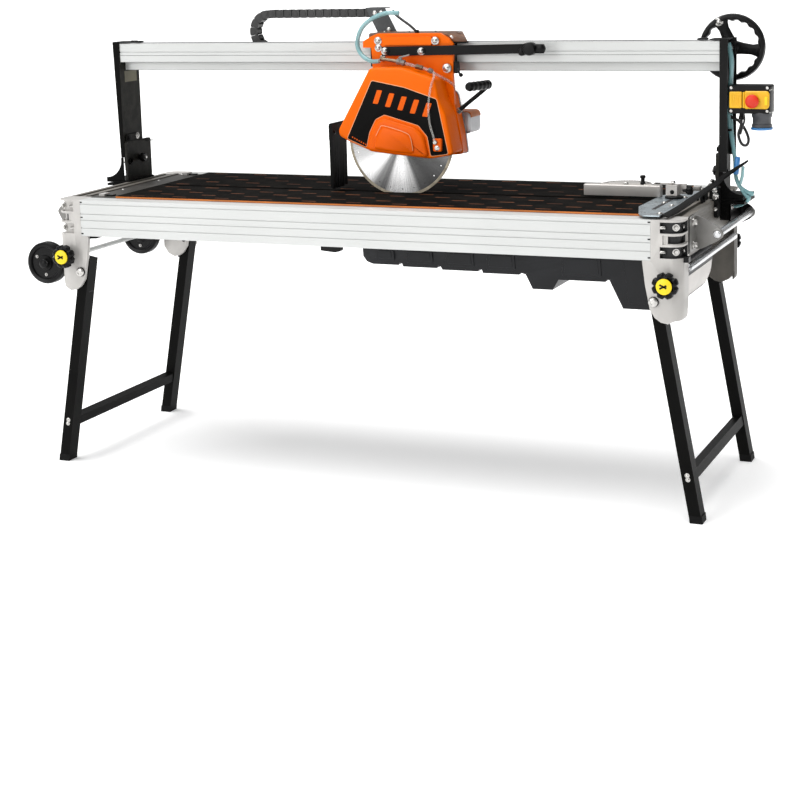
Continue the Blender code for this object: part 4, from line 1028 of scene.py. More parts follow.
def handwheel():
    """A rim with a wavy inner edge, three spokes, hub, bolt and turning grip."""
    cx, cz = CRANK_AXIS
    low, high, middle = 563, 587, 575
    outer, inner, wave, waves = 100, 79.0, 2.4, 18
    shape = bmesh.new()
    rings = []
    for radial, along in ((0.0, 0.5), (0.16, 0.1), (0.5, 0.0), (0.84, 0.1), (1.0, 0.5), (0.84, 0.9),
                          (0.5, 1.0), (0.16, 0.9)):
        def reach(a):
            edge = inner + wave * math.cos(waves * a)
            return edge + (outer - edge) * radial
        rings.append(ring_y(CRANK_AXIS, low + (high - low) * along, 144, reach))
    skin(shape, rings, True)
    for degrees in (115, -7, -127):
        a = math.radians(degrees)
        ux, uz = math.cos(a), math.sin(a)
        stations = []
        for r, half, thick in ((12, 20, 8), (30, 17, 7), (60, 15, 7), (76, 19, 8), (86, 26, 8)):
            ring = []
            for s, t in ((-1, -0.6), (-0.8, -1), (0.8, -1), (1, -0.6), (1, 0.6), (0.8, 1),
                         (-0.8, 1), (-1, 0.6)):
                x = cx + ux * r - uz * half * s
                z = cz + uz * r + ux * half * s
                ring.append(at(x, middle + thick * t, z))
            stations.append(ring)
        loft(shape, stations)
    spin_y(shape, CRANK_AXIS, [(7.4, 562.5), (20, 562.5), (23, 566), (23, 582), (19, 587),
                               (7.4, 587)], 32)
    spin_y(shape, CRANK_AXIS, [(9, 585), (9, 590), (6, 592), (0, 592)], 6, 1)
    grip_axis = polar(CRANK_AXIS, 85, math.radians(117))
    bolt(shape, (grip_axis[0], 566.5, grip_axis[1]), BACK_Y, 8, 6, 1, "dome")
    spin_y(shape, grip_axis, [(4, 580), (4, 651), (7, 651), (7, 655), (0, 655)], 16, 1)
    piece("crank_wheel", shape, "plastic bolt", "crank", ("handwheel",), sharp=50)
    grip = bmesh.new()
    spin_y(grip, grip_axis, [(4.4, 584.6), (9, 584.6), (10.5, 587), (10, 591), (12.5, 602),
                             (13.5, 618), (12.5, 634), (10.5, 645), (8, 649.5), (4.4, 649.5)])
    piece("crank_handle", grip, "plastic", "crank_grip", ("handwheel_grip",), sharp=60)


def switch_housing():
    """The switch housing with its clip plate and a clear clip."""
    shape = bmesh.new()
    body = fillet(rect(1043, 1166, 1123, 1206), 7)
    pillow(shape, "Y", body, [(4, 499.8), (0, 496), (0, 440), (2, 436.4)])
    block(shape, 1042.6, 1050, 445, 492, 1128, 1200)
    for x, z in ((1052, 1199), (1158, 1199), (1052, 1131), (1158, 1131)):
        spin(shape, (x, 437, z), BACK_Y, [(4.2, -1), (4.2, 1.6), (2, 1.8), (2, 0.8), (0, 0.8)], 12, 1)
    spin_z(shape, INLET_AXIS, [(26, 1082.2), (29.5, 1083), (29.5, 1090), (27, 1092), (27, 1110),
                               (30, 1114), (30, 1126)], 36, 2)
    spin_z(shape, (1080, 452), [(7, 1126), (7, 1116), (9, 1114), (9, 1106), (5, 1104)], 12)
    piece("switch_housing", shape, "plastic bolt socket", "bridge", ("switch_box",))
    plate = bmesh.new()
    outline = fillet(rect(1048, 1084.5, 1140, 1188), 4)
    pillow(plate, "Y", outline, [(0, 436.3), (0, 430.5), (2, 428.8)])
    for z in (1146, 1182):
        block(plate, 1078, 1085, 427.8, 432, z - 3, z + 3)
    for k in range(4):
        block(plate, 1056 + k * 6, 1058.5 + k * 6, 427.6, 429.4, 1148, 1180)
    piece("switch_plate", plate, "amber", "bridge", bevel=0.8)
    rim = bmesh.new()
    hose(rim, [(1164, 434, 1192), (1176, 440, 1192), (1177, 440, 1160), (1176, 440, 1128),
               (1164, 434, 1128)], 5, 2.0, 8)
    piece("switch_clip", rim, "clear", "bridge")


def switch_cover():
    """The yellow flap over the switch with the stop button in its hole."""
    flap = bmesh.new()
    outline = fillet([(1093, 1138), (1160, 1138), (1165, 1146), (1165, 1182), (1160, 1190),
                      (1093, 1190)], 5)
    pillow(flap, "Y", outline, [(1, 435.4), (0, 434), (0, 430.5), (2.5, 428.4)])
    spin_z(flap, (1090, 431.9), [(3.3, 1141), (3.3, 1187)], 12)
    ring = [(24.5, 428.8), (24.5, 425.5), (22.5, 424.6), (21.8, 425.6), (21.8, 428.8)]
    spin_y(flap, STOP_AXIS, ring, 32)
    block(flap, 1152, 1160, 425.8, 429, 1150, 1174, 1)
    cover = piece("switch_cover_flap", flap, "amber yellow", "switch_cover",
                  ("switch_flap",))
    hole = bmesh.new()
    spin_y(hole, STOP_AXIS, [(8.5, 418), (8.5, 442)])
    carved(cover, hole)
    button = bmesh.new()
    spin_y(button, STOP_AXIS, [(8, 431.4), (8, 423.9), (15, 423.9), (19.4, 422.4), (20.2, 419),
                               (19.6, 415), (17, 412.4), (11, 411.2), (0, 411)], 40)
    piece("stop_mushroom", button, "red", "stop", ("stop_button",), sharp=50)


def inlet_cap():
    """The blue cover that hangs under the mains inlet."""
    lid = bmesh.new()
    spin_z(lid, INLET_AXIS, [(29, 1074.2), (31.6, 1075.4), (32, 1080), (30.5, 1081.5)], 36)
    block(lid, 1128, 1146, 490, 502.6, 1074.6, 1081.2)
    block(lid, 1129, 1145, 430, 437, 1075, 1080)
    spin(lid, (*INLET_AXIS, 1074.4), (0, 0, -1), [(22, -1), (22, 0.0), (20, 0.4), (0, 0.4)], 28)
    piece("inlet_cap", lid, "blue", "inlet_cover", ("inlet_lid",), bevel=0.5)


def switch_cable():
    """The mains cable's loop and the short lead beside it."""
    cable = bmesh.new()
    hose(cable, [(1080, 452, 1108), (1078, 450, 1085), (1072, 448, 1060), (1082, 446, 1034),
                 (1096, 450, 1030), (1100, 456, 1048), (1086, 470, 1075), (1066, 478, 1098),
                 (1040, 480, 1112), (1030, 480, 1140), (1030, 478, 1250)], 6, 4.2)
    hose(cable, [(1088, 440, 1126), (1092, 436, 1106), (1086, 440, 1086), (1078, 446, 1062)], 6, 3.0, 10)
    piece("switch_cable", cable, "cable", "bridge")


def post_hoses():
    """Water hoses that run down inside the right post's channel."""
    shape = bmesh.new()
    hose(shape, [(1026, 470, 1322), (1036, 466, 1316), (1044, 462, 1288), (1046, 462, 1240),
                 (1040, 466, 1190), (1036, 470, 1140), (1040, 472, 1085), (1050, 470, 1030),
                 (1058, 466, 985), (1060, 462, 955)], 7, 6.0, 14)
    hose(shape, [(1032, 500, 1326), (1040, 506, 1270), (1036, 508, 1180), (1038, 505, 1090),
                 (1046, 500, 1020), (1052, 494, 965)], 7, 4.6)
    for z, r in ((1200, 8), (1072, 8)):
        spin(shape, (1040, 468, z), UP, [(r, -3), (r, 3)], 16, 1)
    piece("post_hoses", shape, "hose strip", "bridge")


def foot_hoses():
    """The same hoses below the tilt's axis, where they stay with the frame."""
    low = bmesh.new()
    hose(low, [(1060, 462, 945), (1066, 456, 925), (1078, 450, 905), (1098, 448, 892),
               (1112, 452, 886)], 7, 6.0, 14)
    hose(low, [(1052, 494, 955), (1058, 492, 925), (1072, 486, 900), (1096, 476, 884),
               (1100, 470, 868), (1080, 470, 850), (1056, 474, 842)], 7, 4.6)
    spin(low, (1066, 456, 968), (0.1, 0, 1), [(7, -26), (8.2, -24), (8.2, 22), (6, 26)], 16, 1)
    hose(low, [(1078, 450, 905), (1092, 446, 884), (1104, 444, 874), (1100, 446, 862)], 6, 5.4)
    spin(low, (1112, 452, 886), (0.9, 0.2, -0.3), [(7, -6), (7, 4), (5, 6), (0, 6)], 16)
    hose(low, [(1010, 452, 905), (1002, 448, 896), (1004, 440, 884), (1016, 436, 880)], 6, 5, 10, 2)
    hose(low, [(1090, 430, 968), (1086, 440, 940), (1078, 448, 915)], 6, 5.0, 10)
    piece("foot_hoses", low, "hose blue clear", "frame")


def splash_strip():
    """The soft curved strip that sweeps up ahead of the right post."""
    stations = [((952, 14), (986, 14), 877.5, 3), ((958, 90), (994, 84), 880, 4),
                ((966, 171), (1000, 151), 886, 5), ((975, 250), (1007, 215), 895, 6),
                ((990, 330), (1014, 290), 906, 6), ((1008, 385), (1026, 360), 921, 6),
                ((1028, 410), (1042, 400), 938, 5), ((1066, 419), (1074, 415), 962, 4),
                ((1105, 424), (1107, 422), 986, 2)]
    shape = bmesh.new()
    rings = []
    for number, ((ux, uy), (lx, ly), z, thick) in enumerate(stations):
        ring = []
        for share, lift in ((0, 0), (0.5, 1), (1, 0), (1, -thick), (0.5, -thick + 0.5), (0, -thick)):
            part = share * (0.62 if number < 5 else 1.0)
            ring.append(at(ux + (lx - ux) * part, uy + (ly - uy) * part, z + lift + (1 - share) * 4))
        rings.append(ring)
    fine = []
    for a, b in zip(rings, rings[1:]):
        for k in range(4):
            fine.append([p.lerp(q, k / 4) for p, q in zip(a, b)])
    fine.append(rings[-1])
    loft(shape, fine)
    piece("splash_ribbon", shape, "strip", "frame", ("splash_strip",), sharp=60)


# ---------------------------------------------------------------- energy chain

def chain_plates(shape, outline, eye):
    """Both side plates of a link, each with a round boss at its eye."""
    for near, far, face in ((CHAIN_NEAR, CHAIN_NEAR + CHAIN_WALL, CHAIN_NEAR - 0.9),
                            (CHAIN_FAR - CHAIN_WALL, CHAIN_FAR, CHAIN_FAR + 0.1)):
        prism(shape, "Y", outline, near, far)
        prism(shape, "Y", arc(eye, CHAIN_EYE, 0, 337.5, 15), face, face + 0.9)


def chain_link(shape, start, end, low, high):
    """One straight link along x: side plates, crossbars and an inner web on each side."""
    outline = rect(start + 1, end - 1, low, high)
    chain_plates(shape, fillet(outline, 7, 4), ((start + end) / 2, (low + high) / 2))
    rest = (end - start) * 0.25
    for z in (low, high - 3):
        block(shape, start + rest, end - rest, CHAIN_NEAR + 1, CHAIN_FAR - 1, z, z + 3)
    for y in (CHAIN_NEAR + 5.5, CHAIN_FAR - 8):
        block(shape, start - 2, end + 2, y, y + 2.5, low + 4, high - 4)


def energy_chain():
    """Two straight runs that follow the carriage at one end, and the bend between them."""
    bend_x = CHAIN_BEND[0]
    runs = (("upper", -100.0, 1410.5, -1005.0, -5.0), ("lower", -50.0, 1298.5, -5.0, -1005.0))
    for name, last, low, start, end in runs:
        shape = bmesh.new()
        count = round((last - bend_x) / 30)
        pitch = (last - bend_x) / count
        for i in range(count):
            chain_link(shape, bend_x + pitch * i, bend_x + pitch * (i + 1), low, low + 27)
        made = piece(f"chain_links_{name}", shape, "chain", None, (f"chain_{name}_run",))
        soften(made, 0.5)
        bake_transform(made, "bridge", "carriage", start=at(start, 552, low), end=at(end, 552, low))
    shape = bmesh.new()
    links = 7
    half = 90 / links * 0.97        # half a link's angle in degrees, less a small gap
    for i in range(links):
        middle = 90 + 180 * (i + 0.5) / links
        outline = [*arc(CHAIN_BEND, 69.4, middle - half, middle + half, 2),
                   *arc(CHAIN_BEND, 42.6, middle + half, middle - half, 2)]
        eye = polar(CHAIN_BEND, 56, math.radians(middle))
        chain_plates(shape, fillet(outline, 5, 3), eye)
        first, last = middle - half / 2, middle + half / 2
        for r in (44, 67.5):
            inner = arc(CHAIN_BEND, r - 1.5, last, first, 1)
            outer = arc(CHAIN_BEND, r + 1.5, first, last, 1)
            prism(shape, "Y", inner + outer, CHAIN_NEAR + 1, CHAIN_FAR - 1)
    piece("chain_links_bend", shape, "chain", "chain", ("chain_bend",), bevel=0.5)
    shape = bmesh.new()
    for x in range(-900, 0, 200):
        bolt(shape, (x, 540, 1295.2), UP, 4, 3, 0, "dome")
    piece("tray_screws", shape, "bolt", "bridge")


# ---------------------------------------------------------------- saw head

# Outlines of the guard's dark panel and of the guard, as (x, z).
PANEL = [(-36, 1226), (72, 1205), (178, 1170), (212, 1004), (156, 996), (146, 1056), (117, 1090),
         (4, 1122), (-27, 1107), (-49, 1066), (-60, 1020), (-124, 1046)]
GUARD = [(-44, 1265), (-156, 1072), (-153, 1053), (-126, 1038), (-42, 1005), (36, 997), (152, 987),
         (229, 1001), (206, 1123), (184, 1170), (172, 1231), (60, 1265)]


def guard_shell():
    """The hollow orange guard, open below, with round holes for arbor and pivot."""
    shape = bmesh.new()
    outline = fillet(GUARD, 12)
    pillow(shape, "Y", outline, [(2, 385), (0, 383), (0, 306), (1.5, 301.5), (5, 298.4), (9, 298)])
    guard = piece("guard_shell", shape, "orange", "head", ("blade_guard",))
    cavity = bmesh.new()
    inside = [(-36, 1255), (-149, 1066), (-149, 950), (226.5, 950), (226.5, 1001), (203.5, 1122),
              (181, 1168), (166, 1222), (58, 1255)]
    prism(cavity, "Y", fillet(inside, 8, 3), 318, 372)
    carved(guard, cavity)
    holes = bmesh.new()
    spin_y(holes, BLADE_AXIS, [(30, 286), (30, 319)], 32)
    spin_y(holes, BLADE_AXIS, [(34, 371), (34, 392)], 32)
    spin_y(holes, PLUNGE_AXIS, [(16, 292), (16, 392)])
    carved(guard, holes)


def guard_nose():
    """The two stepped bosses low on the guard's face."""
    nose = bmesh.new()
    big = fillet([(-54, 1009), (-40, 1067), (-19, 1100), (5, 1112), (111, 1083), (136, 1059),
                  (150, 991), (36, 999)], 16, 6)
    pillow(nose, "Y", big, [(0, 303), (0, 293), (1.5, 289), (5, 286), (10, 284.6)])
    small = fillet([(-30, 1016), (-18, 1062), (0, 1086), (10, 1090), (82, 1070), (100, 1052),
                    (108, 1003), (36, 1007)], 14, 6)
    pillow(nose, "Y", small, [(0, 288), (0.5, 284), (3, 280.4), (8, 278.2)])
    piece("guard_nose", nose, "orange_deep", "head", sharp=50)


def guard_panel():
    """The dark panel on the guard's face with five plain slanted bars."""
    panel = bmesh.new()
    pillow(panel, "Y", fillet(PANEL, 6, 4), [(0, 298.6), (0, 297.2), (0.8, 296.9)])
    for k in range(5):
        x = -34 + k * 41
        z = 1196 - k * 9.5
        bar = [(x, z - 40), (x + 17, z - 42), (x + 33, z), (x + 16, z + 2)]
        prism(panel, "Y", fillet(bar, 3, 3), 296.6, 297.0, 1)
    for k in range(7):
        x, z = -108 + k * 7.4, 1049 - k * 3.7
        prism(panel, "Y", [(x, z), (x + 3.5, z - 1.7), (x + 4.5, z + 2.3), (x + 1, z + 4)], 296.6,
              297.0, 1)
    piece("guard_panel", panel, "panel orange_deep", "head")


def spray_port():
    """The water port on the guard's face with its clear hose."""
    port = bmesh.new()
    outline = fillet(rect(167, 195, 1011, 1051), 6, 4)
    pillow(port, "Y", outline, [(0, 298), (0, 289), (2, 286.6)])
    bolt(port, (181, 286.4, 1022), BACK_Y, 5, 4, 1)
    spin(port, (176, 286, 1040), BACK_Y, [(7, -1), (7, 4), (5.5, 6), (0, 6)], 18, 1)
    hose(port, [(176, 280, 1042), (170, 284, 1060), (158, 287, 1100), (155, 288, 1150),
                (162, 291, 1205), (168, 305, 1236), (160, 325, 1252)], 6, 3.6, 12, 2)
    piece("spray_port", port, "orange_deep bolt clear", "head")


def guard_outline():
    """The thin pale line round the dark panel, and a painted highlight along the nose's ridge."""
    outline = bmesh.new()
    pillow(outline, "Y", inset(fillet(PANEL, 6, 4), -1.9), [(0, 298.6), (0, 297.9), (0.4, 297.6)])
    # A thin pale tube along the nose's ridge: a painted highlight.
    ridge_highlight = [(-18, 279, 1058), (-6, 279, 1079), (8, 279, 1089), (80, 279, 1069), (97, 279, 1052),
             (104, 279, 1014)]
    hose(outline, ridge_highlight, 6, 1.1, 8)
    piece("guard_outline", outline, "cream", "head")


def arm_fittings():
    """Bolts on the head's arm and the small clip and hose end beside the pivot."""
    shape = bmesh.new()
    for x, y, z, r in ((-49, 385.8, 1343, 8), (-48, 385.8, 1321, 7.5), (146, 378.6, 1343, 8),
                       (-20, 370.8, 1312, 7.5), (102, 370.8, 1311, 7.5), (-34, 385.8, 1290, 6)):
        bolt(shape, (x, y, z), BACK_Y, r, 7, 0, "dome")
    prism(shape, "Y", fillet([(194, 1278), (212, 1278), (214, 1246), (196, 1244)], 4, 3), 392, 412, 1)
    hose(shape, [(206, 400, 1256), (214, 399, 1246), (220, 398, 1236)], 4, 3.4, 10, 1)
    spin(shape, (220, 400, 1237), (0.6, -0.8, 0), [(4, -6), (6, -4), (6.5, 3), (4, 5), (0, 5)], 14, 1)
    piece("arm_fittings", shape, "bolt plastic", "head")


def saddle():
    """The carriage's folded cover, its plate and the chain's bracket."""
    cover = bmesh.new()
    profile = [(404, 1338.5), (514, 1338.5), (514, 1300), (528, 1300), (528, 1363), (525, 1366),
               (410, 1366), (404, 1362)]
    tip = []
    for y, z in profile:
        lean = y - 404
        tip.append(at(242 - 0.5 * lean, y, min(z, 1344 + 0.17 * lean) if z > 1340 else z))
    loft(cover, [[at(x, y, z) for y, z in profile] for x in (-88, 176)] + [tip])
    piece("saddle_cover", cover, "cover_top", "carriage", ("carriage_saddle",), bevel=1.2)
    core = bmesh.new()
    block(core, -84, 198, 404.5, 430.5, 1262, 1338)
    block(core, 176, 206, 404.5, 429.5, 1241, 1262)
    block(core, 182, 236, 406, 432, 1333.5, 1338.3)
    piece("saddle_plate", core, "black", "carriage", bevel=1.0)
    sheet = bmesh.new()
    prism(sheet, "Y", [(-150, 1441.4), (-84, 1441.4), (-36, 1350), (-104, 1350)], 525, 529.2)
    block(sheet, -150, -84, 525.5, 576, 1438.4, 1441.4)
    piece("chain_bracket", sheet, "dark_plate", "carriage", bevel=0.6)


def carriage_fittings():
    """The plunge pin and the bolts of the carriage."""
    pivot = bmesh.new()
    pin_x, pin_z = PLUNGE_AXIS
    spin(pivot, (pin_x, 410, pin_z), BACK_Y, [(8, -1), (8, 24.4), (14, 24.4), (14, 33.4), (8, 33.4)])
    bolt(pivot, (pin_x, 376.6, pin_z), BACK_Y, 8, 6, 0, "dome")
    for x in (-60, 20, 110, 190):
        bolt(pivot, (x, 404.4, 1352), BACK_Y, 4, 3)
        bolt(pivot, (x, 470, 1365.8), UP, 5, 4)
    for x, z in ((-118, 1425), (-96, 1425), (-70, 1372)):
        bolt(pivot, (x, 524.8, z), BACK_Y, 4.5, 4, 0, "hex")
    piece("carriage_fittings", pivot, "bolt", "carriage")


def lever_knobs():
    """The knob and the grip at the plunge lever's end."""
    lever = bmesh.new()
    spin(lever, (456, 360, 1318), ALONG_Y, [(9, -6), (17, -5), (20, 0), (20, 22), (17, 27), (9, 28)], 28)
    spin(lever, (431, 364, 1309), ALONG_Y, [(6, -4), (10, -3), (12, 1), (12, 16), (9, 19)], 20)
    end = fillet([(468, 1304), (497, 1304), (503, 1318), (497, 1332), (468, 1332)], 5, 3)
    pillow(lever, "Y", end, [(3, 364), (0, 367), (0, 382), (3, 385)])
    piece("lever_knobs", lever, "plastic", "head", sharp=50)


def push_handle():
    """The bent rod and its swelling grip."""
    handle = bmesh.new()
    hose(handle, [(214, 397, 1128), (226, 404, 1139), (240, 414, 1152), (270, 420, 1176),
                  (298, 422, 1199), (303, 430, 1206)], 6, 6.6, 14)
    spin(handle, (214, 397, 1128), (0.6, 0, 0.6), [(10, -6), (10, 3), (7, 5)], 6, 1)
    piece("handle_rod", handle, "black bolt", "head", ("push_handle",))
    grip = bmesh.new()

    def swell(share):
        """The grip's radius: it grows at the root, ripples and closes at its end."""
        grown = 5.2 * math.sin(min(1.0, share * 8) * math.pi / 2)
        closing = 1 - max(0.0, share - 0.93) * 6
        return 9 + grown * closing + 0.7 * math.cos(share * 40)

    path = [(302, 433, 1206), (296, 410, 1206), (284, 370, 1206), (270, 328, 1206)]
    hose(grip, path, 10, swell, 20)
    piece("handle_grip", grip, "plastic", "head", sharp=60)


def rounded_box(cx, cz, half_x, half_z, radius):
    """A rounded rectangle round (cx, cz), as an outline in x and z."""
    return fillet(rect(cx - half_x, cx + half_x, cz - half_z, cz + half_z), radius, 6)


def motor():
    """A ribbed silver casing with an orange hood over its upper half, and a fan grille."""
    x, z = MOTOR_AXIS
    shape = bmesh.new()
    steps = [(6, 456.2), (0, 460)]
    for k in range(9):
        y = 465 + k * 8.4
        steps += [(0, y), (3, y + 0.8), (3, y + 3.2), (0, y + 4)]
    steps += [(0, 546), (4, 556), (14, 561.4)]
    pillow(shape, "Y", rounded_box(x, z + 1, 56, 34, 18), steps)
    for k in range(9):
        block(shape, x - 34 + k * 8, x - 30 + k * 8, 560.6, 562.2, z - 28, z + 20, 1)
    casing = piece("motor_casing", shape, "silver plastic", "head", ("motor",))
    bore = bmesh.new()
    spin_y(bore, MOTOR_AXIS, [(8.4, 450), (8.4, 486)])
    carved(casing, bore)
    hood = bmesh.new()
    rings = []
    for y, grow in ((457.5, 1.0), (459.5, 2.6), (540, 2.6), (546, 1.0)):
        outline = [(u, v) for u, v in rounded_box(x, z + 1, 56 + grow, 34 + grow, 18) if v > z]
        inner = [(u, v) for u, v in rounded_box(x, z + 1, 56.3, 34.3, 18) if v > z]
        rings.append([at(u, y, v) for u, v in outline + inner[::-1]])
    loft(hood, rings)
    piece("motor_hood", hood, "orange_dull", "head")


def belt_cover():
    """The hollow cover of the belt with its band, its screws and its joint to the guard."""
    cover = fillet([(-20, 1000), (-20, 1080), (60, 1130), (120, 1170), (170, 1192), (190, 1176),
                    (213, 1060), (221, 992), (150, 985), (40, 985)], 8, 4)
    shape = bmesh.new()
    pillow(shape, "Y", cover, [(0, 400.4), (0, 451), (4, 455)])
    shell = piece("cover_shell", shape, "orange", "head", ("belt_cover",))
    cavity = bmesh.new()
    prism(cavity, "Y", inset(cover, 6), 396, 449)
    carved(shell, cavity)
    bore = bmesh.new()
    spin_y(bore, MOTOR_AXIS, [(12, 440), (12, 460)])
    carved(shell, bore)
    soften(shell, 2.5)
    joining = bmesh.new()
    side = [(150, 990), (229.5, 999), (225, 1040), (209, 1123), (198, 1168), (186, 1188), (150, 1178)]
    prism(joining, "Y", fillet(side, 5, 3), 384, 402)
    piece("guard_bridge", joining, "orange", "head", bevel=0.8)
    band = bmesh.new()
    rings = []
    for grow, y in ((-1.6, 455.6), (-1.6, 447.5), (0.6, 447.5), (0.6, 455.6)):
        rings.append([at(u, y, v) for u, v in inset(cover, grow)])
    skin(band, rings, True)
    piece("cover_band", band, "silver", "head", sharp=50)
    belt = bmesh.new()
    for px, pz in ((-6, 1020), (-6, 1072), (70, 1122), (154, 1176), (202, 1050), (206, 1000), (90, 995)):
        bolt(belt, (px, 455, pz), ALONG_Y, 4, 3, 0, "dome")
    piece("cover_screws", belt, "bolt", "head")


def feed_hose():
    """The hose loop and the cable between the chain's bracket and the head."""
    shape = bmesh.new()
    hose(shape, [(-34, 358, 1282), (-62, 366, 1281), (-90, 378, 1290), (-114, 388, 1310),
                 (-124, 396, 1340), (-108, 397, 1382), (-72, 400, 1412), (-28, 404, 1428),
                 (14, 408, 1428)], 8, 7.0, 16)
    spin(shape, (10, 408, 1428), (1, 0.1, 0), [(7.2, -8), (7.2, 5), (5, 6), (0, 6)], 16)
    feed = piece("feed_hose", shape, "hose", None)
    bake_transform(feed, "carriage", "head", start=at(14, 408, 1428), end=at(-40, 362, 1281))
    cable = bmesh.new()
    hose(cable, [(-30, 470, 1432), (-12, 440, 1424), (16, 424, 1408), (46, 416, 1390),
                 (68, 414, 1372), (72, 414, 1366)], 7, 4.2)
    spin(cable, (72, 414, 1366), UP, [(7, -1), (7, 6), (5, 9)], 14, 1)
    piece("head_cable", cable, "cable plastic", "carriage")


def water_fittings():
    """The valve, its fittings and the clear branch to the cover."""
    fit = bmesh.new()
    hose(fit, [(-40, 360, 1281), (-28, 354, 1286), (-16, 348, 1290)], 6, 6.4, 14, 1)
    spin(fit, (-18, 346, 1290), (0.95, -0.1, -0.12), [(8.5, -6), (8.5, 8)], 6)
    hose(fit, [(-18, 342, 1290), (30, 340, 1283), (60, 340, 1277)], 4, 5.4, 14)
    spin(fit, (46, 340, 1280), (0.97, 0, -0.2), [(6, -14), (9.5, -13), (9.5, -4), (7.5, -2),
                                                 (7.5, 3), (9.5, 5), (9.5, 13), (6, 14)], 8, 2)
    spin(fit, (46, 340, 1284), UP, [(5, 0), (5, 9), (3.4, 10), (0, 10)], 14, 2)
    prism(fit, "Y", fillet([(40, 1293), (74, 1300), (76, 1305), (40, 1297)], 1.8, 2), 336, 345, 2)
    hose(fit, [(60, 340, 1277), (92, 338, 1269), (120, 338, 1262), (146, 336, 1254)], 5, 4.8, 14, 1)
    spin(fit, (108, 338, 1265), (0.97, 0, -0.25), [(5, -12), (8.4, -11), (8.4, 11), (5, 12)], 6)
    spin(fit, (146, 336, 1254), (0.9, -0.1, -0.5), [(5, -8), (8, -7), (8, 5), (5.5, 8)], 6, 2)
    hose(fit, [(148, 334, 1252), (170, 350, 1236), (196, 380, 1214), (214, 400, 1180),
               (216, 412, 1140), (208, 414, 1130)], 7, 4.6, 12, 1)
    piece("water_fittings", fit, "brass clear plate", "head", ("water_valve",))


def blade():
    """A ground core with a painted radial sheen, vent holes and a serrated diamond rim."""
    bore, edge, tip = 12.8, 165.8, 174.2
    shape = bmesh.new()
    steps = ((bore, 343.6), (edge, 343.6), (edge, 346.4), (bore, 346.4))
    skin(shape, [ring_y(BLADE_AXIS, y, 180, lambda a: r) for r, y in steps], True)
    disc = piece("blade_core", shape, "disc", "blade", ("saw_blade",))
    vents = bmesh.new()
    for k in range(24):
        spin_y(vents, polar(BLADE_AXIS, 152, 2 * math.pi * k / 24), [(2.2, 340), (2.2, 352)], 10)
    carved(disc, vents)
    rim = bmesh.new()
    teeth = 120
    for y0, y1, phase in ((343.4, BLADE_Y, 0.0), (BLADE_Y, 346.6, math.pi)):
        steps = ((edge, 0, y0), (tip, 0.8, y0), (tip, 0.8, y1), (edge, 0, y1))
        rings = []
        for r, wave, y in steps:
            rings.append(ring_y(BLADE_AXIS, y, 3 * teeth,
                                lambda a: r + wave * math.cos(teeth * a + phase)))
        skin(rim, rings, True)
    piece("blade_rim", rim, "rim", "blade", sharp=60)


def brush_flap():
    """A rubber flap with an uneven lower edge hanging from a hinge strip."""
    shape = bmesh.new()
    spin_y(shape, (-182.5, 1086), [(6.2, 300.5), (6.2, 409.5)], 20)
    block(shape, -189.5, -176.5, 301, 409, 1040, 1084)
    strips = 36
    wide = 108 / strips
    for k in range(strips):
        y = 301 + wide * k
        drop = 882.5 + rng.random() * 9 + (4 if k % 7 == 0 else 0)
        lean = rng.uniform(-1.2, 1.2)
        outline = [(-188.6, 1046), (-177.4, 1046), (-178.6 + lean, drop), (-187.4 + lean, drop)]
        prism(shape, "Y", outline, y + 0.15, y + wide - 0.15)
    for y in (318, 355, 392):
        bolt(shape, (-176.6, y, 1062), (1, 0, 0), 4, 3, 1, "dome")
        bolt(shape, (-189.4, y, 1062), (-1, 0, 0), 4, 3, 1, "dome")
    piece("brush_flap", shape, "strip plastic", "flap", ("splash_flap",))


# ---------------------------------------------------------------- fence

def fence_plate():
    """The guide plate's bolts, scale and groove."""
    plate = bmesh.new()
    for x, y in ((941, 45), (935, 203), (931, 370), (900, 250)):
        bolt(plate, (x, y, 879.8), UP, 6, 5, 0, "dome")
    for k in range(24):
        y = 60 + k * 12
        length = 14 if k % 5 == 0 else 8
        block(plate, 946 - length, 946, y - 0.4, y + 0.4, 879.9, 880.25, 1)
    groove = fillet(rect(896, 908, 120, 330), 5.8, 4)
    prism(plate, "Z", groove, 879.9, 880.3, 1)
    piece("fence_plate_fittings", plate, "bolt cast_dark", "frame")


def fence_arm():
    """The angle bar with its protractor and clamping knob."""
    arm = bmesh.new()
    end = fillet(rect(622, 860, 362, 390), 6, 4)
    pillow(arm, "Z", end, [(1, 880.5), (0, 882), (0, 911.5), (2.2, 914)])
    swivel = (750, 378)
    half = arc(swivel, 77, 0, 180, 32)
    prism(arm, "Z", half, 912, 916.5)
    block(arm, 838, 858, 364, 380, 910, 922)
    tongue = fillet(rect(838, 896, 364, 380), 5, 3)
    prism(arm, "Z", tongue, 918.6, 922)
    for k in range(25):
        a = math.radians(10 + k * 160 / 24)
        inner = 64 if k % 4 else 58
        ends = [at(*polar(swivel, r, a), 916.6) for r in (inner, 74)]
        tube(arm, ends, 0.5, 6, 2)
    spin_z(arm, (800, 384), [(8, 912), (8, 920), (6, 922), (6, 932), (8.5, 934), (8.5, 940),
                             (6.5, 942), (0, 942)], 18, 1)
    spin_z(arm, swivel, [(8, 916), (8, 918.6), (5, 920.6), (0, 920.6)], 6, 3)
    piece("fence_arm_bar", arm, "fence plastic cast_dark bolt", "fence_arm",
          ("fence_bar",), bevel=0.5)


